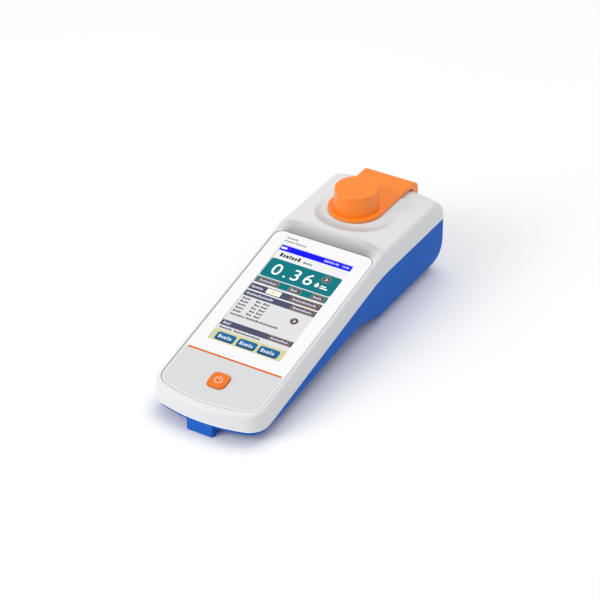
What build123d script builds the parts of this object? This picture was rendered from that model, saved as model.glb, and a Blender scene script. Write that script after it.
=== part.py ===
from build123d import *
import os
from math import atan, cos, radians, sin, sqrt, tan

# Portable turbidimeter: a grey upper shell with a sloping touch screen panel, a blue
# lower shell with a deep rear bowl, and a hinged orange lid over the sample well.
# X runs across, +Y to the rear, +Z up. The origin is the middle of the footprint,
# on the surface that the feet stand on. Sizes are in millimetres.

# Whole instrument
body_length = 251.0
body_width = 80.8
front_radius = 110.0
front_corner_radius = 14.0
rear_corner_radius = 3.0
wall = 2.5
foot_proud = 0.5

# Sloping panel, and the display window in it
panel_tilt = 12.26
panel_front_height = 21.0
display_front_gap = 54.1
display_width = 53.9
display_length = 95.0
view_margin = 0.5
rim_height = 0.4
panel_half_width = 37.7
panel_front_reach = 50.8
panel_rear_reach = 107.0
panel_front_radius = 108.0
panel_corner_radius = 10.0
panel_rear_corner_radius = 6.5
panel_sheet = 0.6
panel_gap = 0.25

# Head over the sample chamber
head_foot_y = 34.6
head_foot_radius = 4.0
head_ridge_y = 42.6
head_top = 61.6
crown_radius = 180.0
rear_top_radius = 16.0
rim_round = 3.0

# Seam between the two shells
seam_front_height = 10.2
seam_slope = 0.2127
seam_middle_height = 32.7
seam_rear_height = 40.5
seam_front_bend = 80.0
seam_rear_bend = 110.0
gasket_thickness = 0.6
gasket_inset = 0.35
gasket_width = 1.8

# Underside: height of the lip, belly, grip end and base, and where they change
lip_height = 7.3
belly_y = -91.4
belly_height = 4.5
grip_end_y = 14.6
grip_end_height = 10.3
base_front_y = 44.6
lip_taper = 30.0

# Width and height of the curve that joins the underside to the side walls
lip_curve = (3.0, 2.9)
belly_curve = (6.0, 8.0)
grip_curve = (8.0, 20.0)
bowl_curve = (10.5, 24.0)

# Front foot block and rubber pads
foot_half_width = 9.7
foot_depth = 12.5
foot_setback = 0.3
foot_edge_round = 1.0
pad_radius = 4.5
pad_depth = 1.0
pad_x = 22.0
pad_front_y = 56.0
pad_rear_y = 102.0
foot_pad_width = 14.0
foot_pad_length = 8.0

# Sample well and its optics
well_y = 72.9
well_radius = 12.75
well_floor = 12.0
chamber_wall = 4.5
chamber_floor = 3.0
chamber_top = 57.0
chamber_flange_radius = 26.0
chamber_flange = 3.0
chamber_screw_circle = 22.3
optic_height = 27.0
aperture_radius = 2.5
lens_seat = 15.2
lens_thickness = 3.0
lens_curve = 6.5
port_radius = 7.0
port_bore_radius = 4.2
port_reach = 29.0
port_plate = 18.0
port_plate_thickness = 3.0
port_screw_offset = 6.5
can_length = 6.0
optic_fit = 0.05
retainer_bore_radius = 3.2
optic_board_thickness = 1.2
connector_height = 1.4

# Collar set into the top of the head round the mouth of the well
collar_radius = 18.4
collar_neck_radius = 16.5
collar_bore_radius = 13.0
collar_ledge = 60.0
collar_fit = 0.1
seat_inner_radius = 14.0
seat_outer_radius = 17.9
seat_depth = 1.0

# Lid: a plate with a hollow cap at the front and a tail over the rear edge
lid_half_width = 19.3
lid_plate = 2.4
lid_lift = 0.3
lid_seat_height = 62.0
lid_bend_radius = 8.0
lid_edge_round = 0.5
cap_base_radius = 15.7
cap_top_radius = 14.8
cap_height = 14.3
cap_wall = 2.0
cap_edge_round = 1.0
seal_inner_radius = 14.3
seal_outer_radius = 17.6
seal_groove = 0.9
seal_gap = 0.3
mound_reach = 8.2
mound_rise = 2.8
mound_margin = 0.7
mound_rear_y = 100.0

# Hinge behind the lid
hinge_y = 121.3
hinge_z = 53.0
knuckle_radius = 4.0
pin_radius = 1.25
pin_half_length = 23.0
pin_clearance = 0.05
hinge_gap = 0.4
hinge_cheek = 4.0
hinge_floor_gap = 1.9

# Power button
button_s = -30.85
button_size = 13.0
button_corner_radius = 4.0
button_proud = 1.2
button_gap = 0.3
button_travel = 0.8
button_flange = 1.2
button_flange_width = 1.4
button_stem_radius = 2.5
button_edge_round = 0.6
running_gap = 0.3

# Display stack and main board, as depths below the panel face
module_width = 67.2
module_length = 105.5
module_fit = 0.3
glass_thickness = 1.1
display_thickness = 3.2
bracket_thickness = 1.0
bracket_bar = 8.0
bracket_screw_x = 35.9
bracket_screw_radius = 1.9
bracket_screw_spacing = 65.0
board_depth = 10.0
board_thickness = 1.6
board_half_width = 32.0
board_front_s = -38.0
board_rear_s = 107.5
board_post_x = 27.0
board_post_front_s = -16.0
board_post_rear_s = 104.0
board_post_radius = 2.6
chip_height = 1.4
switch_width = 6.0
switch_height = 3.5
plunger_radius = 1.7
plunger_height = 0.8
buzzer_radius = 6.0
buzzer_height = 5.0
buzzer_s = 86.0

# Flat flexible cables
flex_thickness = 0.3
flex_half_width = 6.0
flex_bend = 1.2
display_flex_half_width = 10.0
connector_s = 12.0

# Battery bay in the grip
cell_radius = 7.15
cell_length = 49.5
cell_nub_radius = 2.75
cell_nub = 1.0
cell_pitch = 14.7
cell_count = 4
cell_gap = 0.15
bay_front_y = -46.0
bay_rear_y = 10.0
bay_half_width = 30.0
bay_wall = 1.4
contact_thickness = 0.4
contact_width = 11.0
contact_height = 10.0
spring_radius = 3.5
spring_tip_radius = 2.2
cover_thickness = 2.0
cover_lip = 2.3
cover_gap = 0.25
cover_corner_radius = 4.0
cover_lobe_radius = 4.6
cover_lobe_offset = 3.6
cover_screw_depth = 8.0

# Fasteners
screw_radius = 1.45
screw_head_radius = 2.8
screw_head = 1.8
screw_length = 17.0
front_screw_length = 9.0
screw_fit = 0.05
screw_boss_radius = 4.4
screw_place_x = 31.0
front_screw_x = 26.0
front_screw_y = -114.5
middle_screw_y = 41.5
rear_screw_y = 109.0
front_screw_seat = 9.0
front_boss_split = 13.5
rear_screw_seat = 26.0
rear_boss_split = 34.0
small_screw_radius = 0.95
small_head_radius = 1.8
small_head = 1.2
small_screw_length = 5.0
drive_recess = 0.7

# Data socket in the rear wall
socket_z = 31.0
socket_width = 8.9
socket_height = 3.2
socket_length = 7.4
socket_setback = 0.6
socket_gap = 0.3
socket_shell = 0.4
socket_board_half_width = 10.0
socket_board_front_y = 105.5
socket_board_rear_y = 119.0
socket_board_thickness = 1.2
socket_post_x = 7.0
socket_post_y = 109.5
socket_post_radius = 2.4

# Values that follow from the sizes above
front_y = -body_length / 2
rear_y = body_length / 2
half_width = body_width / 2
base_z = foot_proud
tall = 200.0
wide = 300.0
display_y = front_y + display_front_gap
panel_slope = tan(radians(panel_tilt))
rim_lift = rim_height / cos(radians(panel_tilt))
glass_top = panel_sheet
module_top = glass_top + glass_thickness
bracket_top = module_top + display_thickness
bracket_bottom = bracket_top + bracket_thickness
deck_bottom = wall - rim_height
board_bottom = board_depth + board_thickness
display_middle_s = display_length / 2
lid_under = lid_seat_height + lid_lift
lid_top = lid_under + lid_plate
tail_front_y = hinge_y - knuckle_radius
tail_rear_y = hinge_y + knuckle_radius
round_y = rear_y - rear_top_radius
round_z = head_top - rear_top_radius
chamber_radius = well_radius + chamber_wall
bay_y = (bay_front_y + bay_rear_y) / 2
bay_length = bay_rear_y - bay_front_y
underside_slope = (grip_end_height - belly_height) / (grip_end_y - belly_y)
cell_level = cover_thickness + cell_gap + cell_radius
bay_ceiling = cell_level + cell_radius + cell_gap

os.makedirs("parts", exist_ok=True)


def panel_height(y):
    """Height of the panel face at a place along the instrument."""
    return panel_front_height + panel_slope * (y - front_y)


panel = Plane(
    origin=(0, display_y, panel_height(display_y)),
    x_dir=(1, 0, 0),
    z_dir=(0, -sin(radians(panel_tilt)), cos(radians(panel_tilt))),
)
underside = Plane(
    origin=(0, bay_y, belly_height + underside_slope * (bay_y - belly_y)),
    x_dir=(1, 0, 0),
    z_dir=(0, -underside_slope, 1),
)


def plan_outline(inset, rear_extra=0.0, rear_radius=0.0):
    """Outline of the body seen from above, moved in from the outer face."""
    corner_y = front_y + front_radius - sqrt(front_radius**2 - half_width**2)
    back_y = rear_y + rear_extra
    with BuildSketch() as outline:
        with BuildLine():
            ThreePointArc((-half_width, corner_y), (0, front_y), (half_width, corner_y))
            Polyline((half_width, corner_y), (half_width, back_y), (-half_width, back_y), (-half_width, corner_y))
        make_face()
        fillet(outline.vertices().group_by(Axis.Y)[0], front_corner_radius)
        if rear_radius:
            fillet(outline.vertices().group_by(Axis.Y)[-1], rear_radius)
        if inset:
            offset(amount=-inset)
    return outline.sketch_local


def above_seam(shift):
    """Region over the seam line, seen from the side, with the line moved up."""
    low = seam_front_height + shift
    high = seam_rear_height + shift
    low_y = (seam_front_height - seam_middle_height) / seam_slope
    high_y = (seam_rear_height - seam_middle_height) / seam_slope
    with BuildSketch() as region:
        with BuildLine():
            Polyline(
                (-wide, low), (low_y, low), (high_y, high), (wide, high), (wide, tall), (-wide, tall), close=True
            )
        make_face()
        fillet(region.vertices().sort_by_distance((low_y, low))[0], seam_front_bend)
        fillet(region.vertices().sort_by_distance((high_y, high))[0], seam_rear_bend)
    return region.sketch_local


def upper_form(inset):
    """Body over the seam: sloping deck, crowned head and rounded rear top edge."""
    foot_height = panel_height(head_foot_y) + rim_lift
    head_rise = head_top - foot_height
    head_run = head_ridge_y - head_foot_y
    overshoot = head_rise
    with BuildPart() as form:
        with BuildSketch(Plane.YZ) as side:
            with BuildLine():
                Polyline(
                    (front_y, -wall),
                    (front_y, panel_front_height + rim_lift),
                    (head_foot_y, foot_height),
                    (head_ridge_y + head_run, head_top + overshoot),
                    (rear_y, head_top + overshoot),
                    (rear_y, -wall),
                    close=True,
                )
            make_face()
            fillet(side.vertices().sort_by_distance((head_foot_y, foot_height))[0], head_foot_radius)
            if inset:
                offset(amount=-inset)
        extrude(amount=body_width, both=True)
        with BuildSketch(Plane.XY.offset(-wall)):
            add(plan_outline(inset))
        extrude(amount=tall, mode=Mode.INTERSECT)
        with BuildSketch(Plane.XZ):
            with Locations((0, head_top - crown_radius)):
                Circle(crown_radius - inset)
        extrude(amount=wide, both=True, mode=Mode.INTERSECT)
        rear_top_edge = form.edges().filter_by(GeomType.CIRCLE).sort_by(Axis.Y)[-1]
        fillet(rear_top_edge, rear_top_radius - inset)
    return form.part


def plan_walls(inset):
    """Upright outer walls, drawn in below the seam to make the front lip."""
    lip_draw = seam_front_height * tan(radians(lip_taper))
    with BuildPart() as walls:
        with BuildSketch(Plane.XY.offset(seam_front_height)):
            add(plan_outline(inset))
        extrude(amount=tall)
        with BuildSketch():
            add(plan_outline(inset + lip_draw, rear_extra=wide))
        extrude(amount=seam_front_height, taper=-lip_taper)
    return walls.part


def lower_form(inset):
    """Body under the seam: lip, grip and rear bowl, lofted through plain sections."""
    sections = (
        (front_y - wall, lip_height, lip_curve),
        (belly_y, belly_height, belly_curve),
        (grip_end_y, grip_end_height, grip_curve),
        (base_front_y, base_z, bowl_curve),
        (rear_y + wall, base_z, bowl_curve),
    )
    side_x = half_width - inset
    back_y = rear_y - inset
    bowl_width = bowl_curve[0] - inset / 2
    bowl_height = bowl_curve[1] - inset / 2
    bowl_floor = base_z + inset
    with BuildPart() as form:
        for section_y, bottom, curve in sections:
            curve_width = curve[0] - inset / 2
            curve_height = curve[1] - inset / 2
            floor = bottom + inset
            with BuildSketch(Plane.XZ.offset(-section_y)):
                with BuildLine():
                    Line((0, floor), (side_x - curve_width, floor))
                    EllipticalCenterArc(
                        (side_x - curve_width, floor + curve_height),
                        curve_width,
                        curve_height,
                        start_angle=-90,
                        arc_size=90,
                    )
                    Polyline((side_x, floor + curve_height), (side_x, head_top), (0, head_top))
                    mirror(about=Plane.YZ)
                make_face()
        loft(ruled=True)
        with BuildSketch(Plane.YZ):
            with BuildLine():
                EllipticalCenterArc(
                    (back_y - bowl_width, bowl_floor + bowl_height),
                    bowl_width,
                    bowl_height,
                    start_angle=-90,
                    arc_size=90,
                )
                Polyline(
                    (back_y, bowl_floor + bowl_height),
                    (back_y, tall),
                    (-wide, tall),
                    (-wide, -wall),
                    (back_y - bowl_width, -wall),
                    (back_y - bowl_width, bowl_floor),
                )
            make_face()
        extrude(amount=body_width, both=True, mode=Mode.INTERSECT)
        add(plan_walls(inset), mode=Mode.INTERSECT)
    return form.part


def is_moulded_edge(edge):
    """True for the outer edges of the upper form that are rounded over."""
    middle = edge.center()
    low = middle.Z < seam_front_height
    crosswise = abs(middle.X) < 1 and edge.geom_type in (GeomType.LINE, GeomType.CIRCLE)
    return not (low or crosswise)


def is_rear_corner(edge):
    """True for the upright rear edges of the lower form and their curved feet."""
    middle = edge.center()
    return middle.Y > round_y and abs(middle.X) > half_width - bowl_curve[0] and middle.Z > base_z + wall


def panel_outline(grow):
    """Outline of the panel face, with its front edge bowed out."""
    corner_s = -panel_front_reach + panel_front_radius - sqrt(panel_front_radius**2 - panel_half_width**2)
    with BuildSketch() as outline:
        with BuildLine():
            ThreePointArc(
                (-panel_half_width, corner_s), (0, -panel_front_reach), (panel_half_width, corner_s)
            )
            Polyline(
                (panel_half_width, corner_s),
                (panel_half_width, panel_rear_reach),
                (-panel_half_width, panel_rear_reach),
                (-panel_half_width, corner_s),
            )
        make_face()
        fillet(outline.vertices().group_by(Axis.Y)[0], panel_corner_radius)
        fillet(outline.vertices().group_by(Axis.Y)[-1], panel_rear_corner_radius)
        if grow:
            offset(amount=grow)
    return outline.sketch_local


def lid_outline(reach, back_y):
    """Lid seen from above: a half circle round the well and straight sides to the rear."""
    radius = lid_half_width + reach
    with BuildSketch() as outline:
        with BuildLine():
            ThreePointArc((-radius, well_y), (0, well_y - radius), (radius, well_y))
            Polyline((radius, well_y), (radius, back_y), (-radius, back_y), (-radius, well_y))
        make_face()
    return outline.sketch_local


def panel_level(depth):
    """Plane parallel to the panel face at a depth below it."""
    return panel.offset(-depth)


def screw(seat, radius, length, head_radius, head_height):
    """Plain screw with a hexagon recess in a flat round head."""
    with BuildPart() as body:
        with BuildSketch(seat):
            Circle(radius)
        extrude(amount=length)
        with BuildSketch(seat):
            Circle(head_radius)
        extrude(amount=-head_height)
        with BuildSketch(seat.offset(-head_height)):
            RegularPolygon(head_radius / 2, 6)
        extrude(amount=drive_recess, mode=Mode.SUBTRACT)
    return body.part


# Outer skins of both shells, before they are hollowed and parted
with BuildPart() as upper_skin:
    add(upper_form(0))
    fillet(upper_skin.edges().filter_by(is_moulded_edge), rim_round)

with BuildPart() as lower_skin:
    add(lower_form(0))
    fillet(lower_skin.edges().filter_by(is_rear_corner), rear_corner_radius)

upper_room = upper_form(wall)
lower_room = lower_form(wall)
upper_core = upper_form(wall / 2)
lower_core = lower_form(wall / 2)

# Screw places: x, y, seat of the head, height where the two bosses meet, shank length
shell_screws = [
    (side * x, y, seat, split, length)
    for side in (-1, 1)
    for x, y, seat, split, length in (
        (front_screw_x, front_screw_y, front_screw_seat, front_boss_split, front_screw_length),
        (screw_place_x, middle_screw_y, rear_screw_seat, rear_boss_split, screw_length),
        (screw_place_x, rear_screw_y, rear_screw_seat, rear_boss_split, screw_length),
    )
]
board_posts = [
    (side * board_post_x, s) for side in (-1, 1) for s in (board_post_front_s, board_post_rear_s)
]
bracket_posts = [
    (side * bracket_screw_x, display_middle_s + end * bracket_screw_spacing / 2)
    for side in (-1, 1)
    for end in (-1, 1)
]

# Bosses, posts and hinge pocket moulded inside the upper shell
with BuildPart() as upper_bosses:
    for x, y, seat, split, length in shell_screws:
        with BuildSketch(Plane.XY.offset(split)):
            with Locations((x, y)):
                Circle(screw_boss_radius)
        extrude(amount=tall)
    with BuildSketch(Plane.XY.offset(chamber_top)):
        with Locations((0, well_y)):
            Circle(chamber_flange_radius)
    extrude(amount=tall)
    with BuildSketch(Plane.XY.offset(hinge_z - knuckle_radius - hinge_floor_gap - wall)):
        with Locations((0, rear_y)):
            Rectangle(
                2 * (lid_half_width + hinge_gap + hinge_cheek),
                2 * (rear_y - tail_front_y + hinge_gap + wall),
            )
    extrude(amount=tall)
    with BuildSketch(panel_level(board_depth)):
        with Locations(*board_posts):
            Circle(board_post_radius)
    extrude(amount=board_depth)
    with BuildSketch(panel_level(bracket_top)):
        with Locations(*bracket_posts):
            Circle(bracket_screw_radius)
    extrude(amount=bracket_top)
    add(upper_core, mode=Mode.INTERSECT)

# Upper shell: deck with display window, head with the well mouth, and hinge notch
with BuildPart() as top_housing:
    add(upper_skin.part)
    with BuildSketch(Plane.XY.offset(lid_seat_height - mound_rise)):
        add(lid_outline(mound_reach, mound_rear_y + mound_reach))
    with BuildSketch(Plane.XY.offset(lid_seat_height)):
        add(lid_outline(mound_margin, mound_rear_y))
    loft()
    add(upper_room, mode=Mode.SUBTRACT)
    with BuildSketch(Plane.YZ):
        add(above_seam(gasket_thickness / 2))
    extrude(amount=wide, both=True, mode=Mode.INTERSECT)
    add(upper_bosses.part)
    # Recess for the panel sheet, and windows under it
    with BuildSketch(panel_level(panel_sheet)):
        add(panel_outline(panel_gap))
    extrude(amount=panel_sheet + wall, mode=Mode.SUBTRACT)
    with BuildSketch(panel_level(panel_sheet)):
        with Locations((0, display_middle_s)):
            Rectangle(module_width + 2 * module_fit, module_length + 2 * module_fit)
    extrude(amount=panel_sheet - bracket_top, mode=Mode.SUBTRACT)
    with BuildSketch(panel_level(panel_sheet)):
        with Locations((0, button_s)):
            RectangleRounded(
                button_size + 2 * button_gap, button_size + 2 * button_gap, button_corner_radius + button_gap
            )
    extrude(amount=-wall, mode=Mode.SUBTRACT)
    # Well mouth with a ledge for the collar
    with BuildSketch(Plane.XY.offset(chamber_top)):
        with Locations((0, well_y)):
            Circle(collar_neck_radius + collar_fit)
    extrude(amount=tall, mode=Mode.SUBTRACT)
    with BuildSketch(Plane.XY.offset(collar_ledge)):
        with Locations((0, well_y)):
            Circle(collar_radius + collar_fit)
    extrude(amount=tall, mode=Mode.SUBTRACT)
    # Notch for the tail of the lid, and the seats of its pin
    with BuildSketch(Plane.XY.offset(hinge_z - knuckle_radius - hinge_floor_gap)):
        with Locations((0, rear_y)):
            Rectangle(2 * (lid_half_width + hinge_gap), 2 * (rear_y - tail_front_y + hinge_gap))
    extrude(amount=tall, mode=Mode.SUBTRACT)
    with BuildSketch(Plane.YZ):
        with Locations((hinge_y, hinge_z)):
            Circle(pin_radius)
    extrude(amount=pin_half_length, both=True, mode=Mode.SUBTRACT)
    # Screw holes
    for x, y, seat, split, length in shell_screws:
        with BuildSketch(Plane.XY.offset(split)):
            with Locations((x, y)):
                Circle(screw_radius + screw_fit)
        extrude(amount=seat + length - split, mode=Mode.SUBTRACT)
    with BuildSketch(Plane.XY.offset(chamber_top)):
        with Locations((0, well_y)):
            with PolarLocations(chamber_screw_circle, 4, start_angle=45):
                Circle(small_screw_radius + screw_fit)
    extrude(amount=small_screw_length - chamber_flange, mode=Mode.SUBTRACT)
    with BuildSketch(panel_level(board_depth)):
        with Locations(*board_posts):
            Circle(small_screw_radius + screw_fit)
    extrude(amount=small_screw_length - board_thickness, mode=Mode.SUBTRACT)
    with BuildSketch(panel_level(bracket_top)):
        with Locations(*bracket_posts):
            Circle(small_screw_radius + screw_fit)
    extrude(amount=bracket_top - deck_bottom, mode=Mode.SUBTRACT)
top_housing.part.label = "top_housing"
export_step(top_housing.part, "parts/top_housing.step")

# Rubber pads under the bowl, shared by their recesses
pad_places = [(side * pad_x, y) for side in (-1, 1) for y in (pad_front_y, pad_rear_y)]
foot_front_y = front_y + foot_setback
foot_middle_y = foot_front_y + foot_depth / 2
cover_screw_place = (0, -bay_length / 2 - cover_lobe_offset)


def cover_outline(grow):
    """Battery cover seen from below, with a round lobe for its screw at the front."""
    with BuildSketch() as outline:
        RectangleRounded(
            2 * (bay_half_width + cover_lip), bay_length + 2 * cover_lip, cover_corner_radius
        )
        with Locations(cover_screw_place):
            Circle(cover_lobe_radius)
        if grow:
            offset(amount=grow)
    return outline.sketch_local


# Lower bosses, battery bay walls and socket posts, all inside the lower shell
with BuildPart() as lower_bosses:
    for x, y, seat, split, length in shell_screws:
        with BuildSketch():
            with Locations((x, y)):
                Circle(screw_boss_radius)
        extrude(amount=split)
    with BuildSketch(underside.offset(-wall)):
        RectangleRounded(
            2 * (bay_half_width + cover_lip + bay_wall),
            bay_length + 2 * (cover_lip + bay_wall),
            cover_corner_radius,
        )
        with Locations(cover_screw_place):
            Circle(cover_lobe_radius + bay_wall)
    extrude(amount=wall + cover_thickness + bay_wall)
    with BuildSketch(underside):
        Rectangle(2 * (bay_half_width + bay_wall), bay_length + 2 * bay_wall)
    extrude(amount=bay_ceiling + bay_wall)
    with BuildSketch(underside):
        with Locations(cover_screw_place):
            Circle(cover_lobe_radius)
    extrude(amount=cover_thickness + cover_screw_depth)
    with BuildSketch():
        with Locations(*[(side * socket_post_x, socket_post_y) for side in (-1, 1)]):
            Circle(socket_post_radius)
    extrude(amount=socket_z - socket_height / 2 - socket_board_thickness)
    add(lower_core, mode=Mode.INTERSECT)

with BuildPart() as foot_block:
    with BuildSketch(Plane.XY.offset(base_z)):
        with Locations((0, foot_middle_y)):
            Rectangle(2 * foot_half_width, foot_depth)
    extrude(amount=seam_front_height - gasket_thickness / 2 - base_z)
    fillet(foot_block.edges().filter_by(Axis.Z), foot_edge_round)

# Lower shell: grip, rear bowl, front foot, battery bay and socket opening
with BuildPart() as bottom_housing:
    add(lower_skin.part)
    add(lower_room, mode=Mode.SUBTRACT)
    with BuildSketch(Plane.YZ):
        add(above_seam(-gasket_thickness / 2))
    extrude(amount=wide, both=True, mode=Mode.SUBTRACT)
    add(foot_block.part)
    add(lower_bosses.part)
    # Battery bay with a recess for its cover
    with BuildSketch(underside.offset(-wall)):
        add(cover_outline(cover_gap))
    extrude(amount=wall + cover_thickness, mode=Mode.SUBTRACT)
    with BuildSketch(underside):
        Rectangle(2 * bay_half_width, bay_length)
    extrude(amount=bay_ceiling, mode=Mode.SUBTRACT)
    with BuildSketch(underside.offset(cover_thickness)):
        with Locations(cover_screw_place):
            Circle(small_screw_radius + screw_fit)
    extrude(amount=small_screw_length, mode=Mode.SUBTRACT)
    # Screw wells from below
    for x, y, seat, split, length in shell_screws:
        with BuildSketch():
            with Locations((x, y)):
                Circle(screw_head_radius + screw_fit)
        extrude(amount=seat, mode=Mode.SUBTRACT)
        with BuildSketch():
            with Locations((x, y)):
                Circle(screw_radius + screw_fit)
        extrude(amount=split, mode=Mode.SUBTRACT)
    # Recesses for the rubber pads
    with BuildSketch():
        with Locations(*pad_places):
            Circle(pad_radius)
        with Locations((0, foot_middle_y)):
            Rectangle(foot_pad_width, foot_pad_length)
    extrude(amount=base_z + pad_depth, mode=Mode.SUBTRACT)
    # Opening for the data socket and the screws of its board
    with BuildSketch(Plane.XZ.offset(-rear_y + wall)):
        with Locations((0, socket_z)):
            RectangleRounded(
                socket_width + 2 * socket_gap, socket_height + 2 * socket_gap, socket_height / 2
            )
    extrude(amount=-2 * wall, mode=Mode.SUBTRACT)
    with BuildSketch(Plane.XY.offset(socket_z - socket_height / 2 - small_screw_length)):
        with Locations(*[(side * socket_post_x, socket_post_y) for side in (-1, 1)]):
            Circle(small_screw_radius + screw_fit)
    extrude(amount=small_screw_length, mode=Mode.SUBTRACT)
bottom_housing.part.label = "bottom_housing"
export_step(bottom_housing.part, "parts/bottom_housing.step")

# Sealing ring that follows the seam between the shells
with BuildPart() as housing_gasket:
    with BuildSketch(Plane.YZ):
        add(above_seam(-gasket_thickness / 2))
        add(above_seam(gasket_thickness / 2), mode=Mode.SUBTRACT)
    extrude(amount=body_width, both=True)
    with BuildSketch():
        add(plan_outline(gasket_inset, rear_radius=rear_corner_radius))
    extrude(amount=tall, mode=Mode.INTERSECT)
    with BuildSketch():
        add(plan_outline(gasket_inset + gasket_width, rear_radius=rear_corner_radius))
    extrude(amount=tall, mode=Mode.SUBTRACT)
housing_gasket.part.label = "housing_gasket"
export_step(housing_gasket.part, "parts/housing_gasket.step")

# Printed sheet over the panel, open at the display and the button
with BuildPart() as front_panel:
    with BuildSketch(panel_level(panel_sheet)):
        add(panel_outline(0))
        with Locations((0, display_middle_s)):
            Rectangle(
                display_width + 2 * view_margin, display_length + 2 * view_margin, mode=Mode.SUBTRACT
            )
        with Locations((0, button_s)):
            RectangleRounded(
                button_size + 2 * button_gap,
                button_size + 2 * button_gap,
                button_corner_radius + button_gap,
                mode=Mode.SUBTRACT,
            )
    extrude(amount=panel_sheet)
front_panel.part.label = "front_panel"
export_step(front_panel.part, "parts/front_panel.step")

# Touch glass under the sheet
with BuildPart() as touch_screen:
    with BuildSketch(panel_level(module_top)):
        with Locations((0, display_middle_s)):
            Rectangle(module_width, module_length)
    extrude(amount=glass_thickness)
touch_screen.part.label = "touch_screen"
export_step(touch_screen.part, "parts/touch_screen.step")

# Liquid crystal module with its metal frame turned over at the back
with BuildPart() as display_module:
    with BuildSketch(panel_level(bracket_top)):
        with Locations((0, display_middle_s)):
            Rectangle(module_width, module_length)
    extrude(amount=display_thickness)
    with BuildSketch(panel_level(bracket_top)):
        with Locations((0, display_middle_s)):
            Rectangle(display_width, display_length)
    extrude(amount=display_thickness / 4, mode=Mode.SUBTRACT)
display_module.part.label = "display_module"
export_step(display_module.part, "parts/display_module.step")

# Sheet metal frame that clamps the display up against the sheet
with BuildPart() as display_bracket:
    with BuildSketch(panel_level(bracket_bottom)):
        with Locations((0, display_middle_s)):
            Rectangle(module_width, module_length)
            Rectangle(
                module_width - 2 * bracket_bar, module_length - 2 * bracket_bar, mode=Mode.SUBTRACT
            )
        with Locations(*bracket_posts):
            Rectangle(4 * bracket_screw_radius - 2 * screw_fit, bracket_bar)
        with Locations((0, display_middle_s)):
            Rectangle(2 * (half_width - wall - module_fit), module_length, mode=Mode.INTERSECT)
        with Locations(*bracket_posts):
            Circle(small_screw_radius + screw_fit, mode=Mode.SUBTRACT)
    extrude(amount=bracket_thickness)
display_bracket.part.label = "display_bracket"
export_step(display_bracket.part, "parts/display_bracket.step")

with BuildPart() as display_screws:
    for x, s in bracket_posts:
        seat = Plane(panel_level(bracket_bottom).from_local_coords((x, s, 0)), z_dir=panel.z_dir)
        add(screw(seat, small_screw_radius, bracket_bottom - deck_bottom, small_head_radius, small_head))
display_screws.part.label = "display_screws"
export_step(display_screws.part, "parts/display_screws.step")

# Power button: square cap, retaining flange under the deck, and stem over its switch
button_flange_top = deck_bottom + running_gap
stem_end = board_depth - switch_height - plunger_height - running_gap - button_travel
with BuildPart() as power_button:
    with BuildSketch(panel_level(button_flange_top)):
        with Locations((0, button_s)):
            RectangleRounded(button_size, button_size, button_corner_radius)
    extrude(amount=button_flange_top + button_proud)
    top_edges = power_button.faces().sort_by(Axis(panel.origin, panel.z_dir))[-1].edges()
    fillet(top_edges, button_edge_round)
    with BuildSketch(panel_level(button_flange_top)):
        with Locations((0, button_s)):
            RectangleRounded(
                button_size + 2 * button_flange_width,
                button_size + 2 * button_flange_width,
                button_corner_radius + button_flange_width,
            )
    extrude(amount=-button_flange)
    with BuildSketch(panel_level(stem_end)):
        with Locations((0, button_s)):
            Circle(button_stem_radius)
    extrude(amount=stem_end - button_flange_top)
power_button.part.label = "power_button"
export_step(power_button.part, "parts/power_button.step")

# Push switch on the main board
with BuildPart() as power_switch:
    with BuildSketch(panel_level(board_depth)):
        with Locations((0, button_s)):
            Rectangle(switch_width, switch_width)
    extrude(amount=switch_height)
    with BuildSketch(panel_level(board_depth - switch_height)):
        with Locations((0, button_s)):
            Circle(plunger_radius)
    extrude(amount=plunger_height)
power_switch.part.label = "power_switch"
export_step(power_switch.part, "parts/power_switch.step")

# Main board under the display
with BuildPart() as main_board:
    with BuildSketch(panel_level(board_bottom)):
        with Locations((0, (board_front_s + board_rear_s) / 2)):
            RectangleRounded(2 * board_half_width, board_rear_s - board_front_s, bracket_screw_radius)
        with Locations(*board_posts):
            Circle(small_screw_radius + screw_fit, mode=Mode.SUBTRACT)
    extrude(amount=board_thickness)
main_board.part.label = "main_board"
export_step(main_board.part, "parts/main_board.step")

with BuildPart() as board_screws:
    for x, s in board_posts:
        seat = Plane(panel_level(board_bottom).from_local_coords((x, s, 0)), z_dir=panel.z_dir)
        add(screw(seat, small_screw_radius, small_screw_length, small_head_radius, small_head))
board_screws.part.label = "board_screws"
export_step(board_screws.part, "parts/board_screws.step")

# Processor, memory, display connector and sensor connector on the upper face of the board
with BuildPart() as board_chips:
    with BuildSketch(panel_level(board_depth)):
        with Locations((0, 42.0)):
            Rectangle(14.0, 14.0)
        with Locations((-17.0, 42.0)):
            Rectangle(8.0, 6.0)
        with Locations((18.0, 44.0)):
            Rectangle(10.0, 10.0)
        with Locations((0, connector_s)):
            Rectangle(2 * display_flex_half_width + 2, 4.0)
    extrude(amount=chip_height)
    with BuildSketch(panel_level(board_bottom)):
        with Locations((0, board_rear_s - chip_height)):
            Rectangle(2 * flex_half_width + 2, 2 * chip_height)
    extrude(amount=-chip_height)
board_chips.part.label = "board_chips"
export_step(board_chips.part, "parts/board_chips.step")

# Sounder under the rear of the board
with BuildPart() as buzzer:
    with BuildSketch(panel_level(board_bottom)):
        with Locations((0, buzzer_s)):
            Circle(buzzer_radius)
    extrude(amount=-buzzer_height)
    with BuildSketch(panel_level(board_bottom + buzzer_height)):
        with Locations((0, buzzer_s)):
            Circle(buzzer_radius / 6)
    extrude(amount=buzzer_height / 5, mode=Mode.SUBTRACT)
buzzer.part.label = "buzzer"
export_step(buzzer.part, "parts/buzzer.step")

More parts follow.
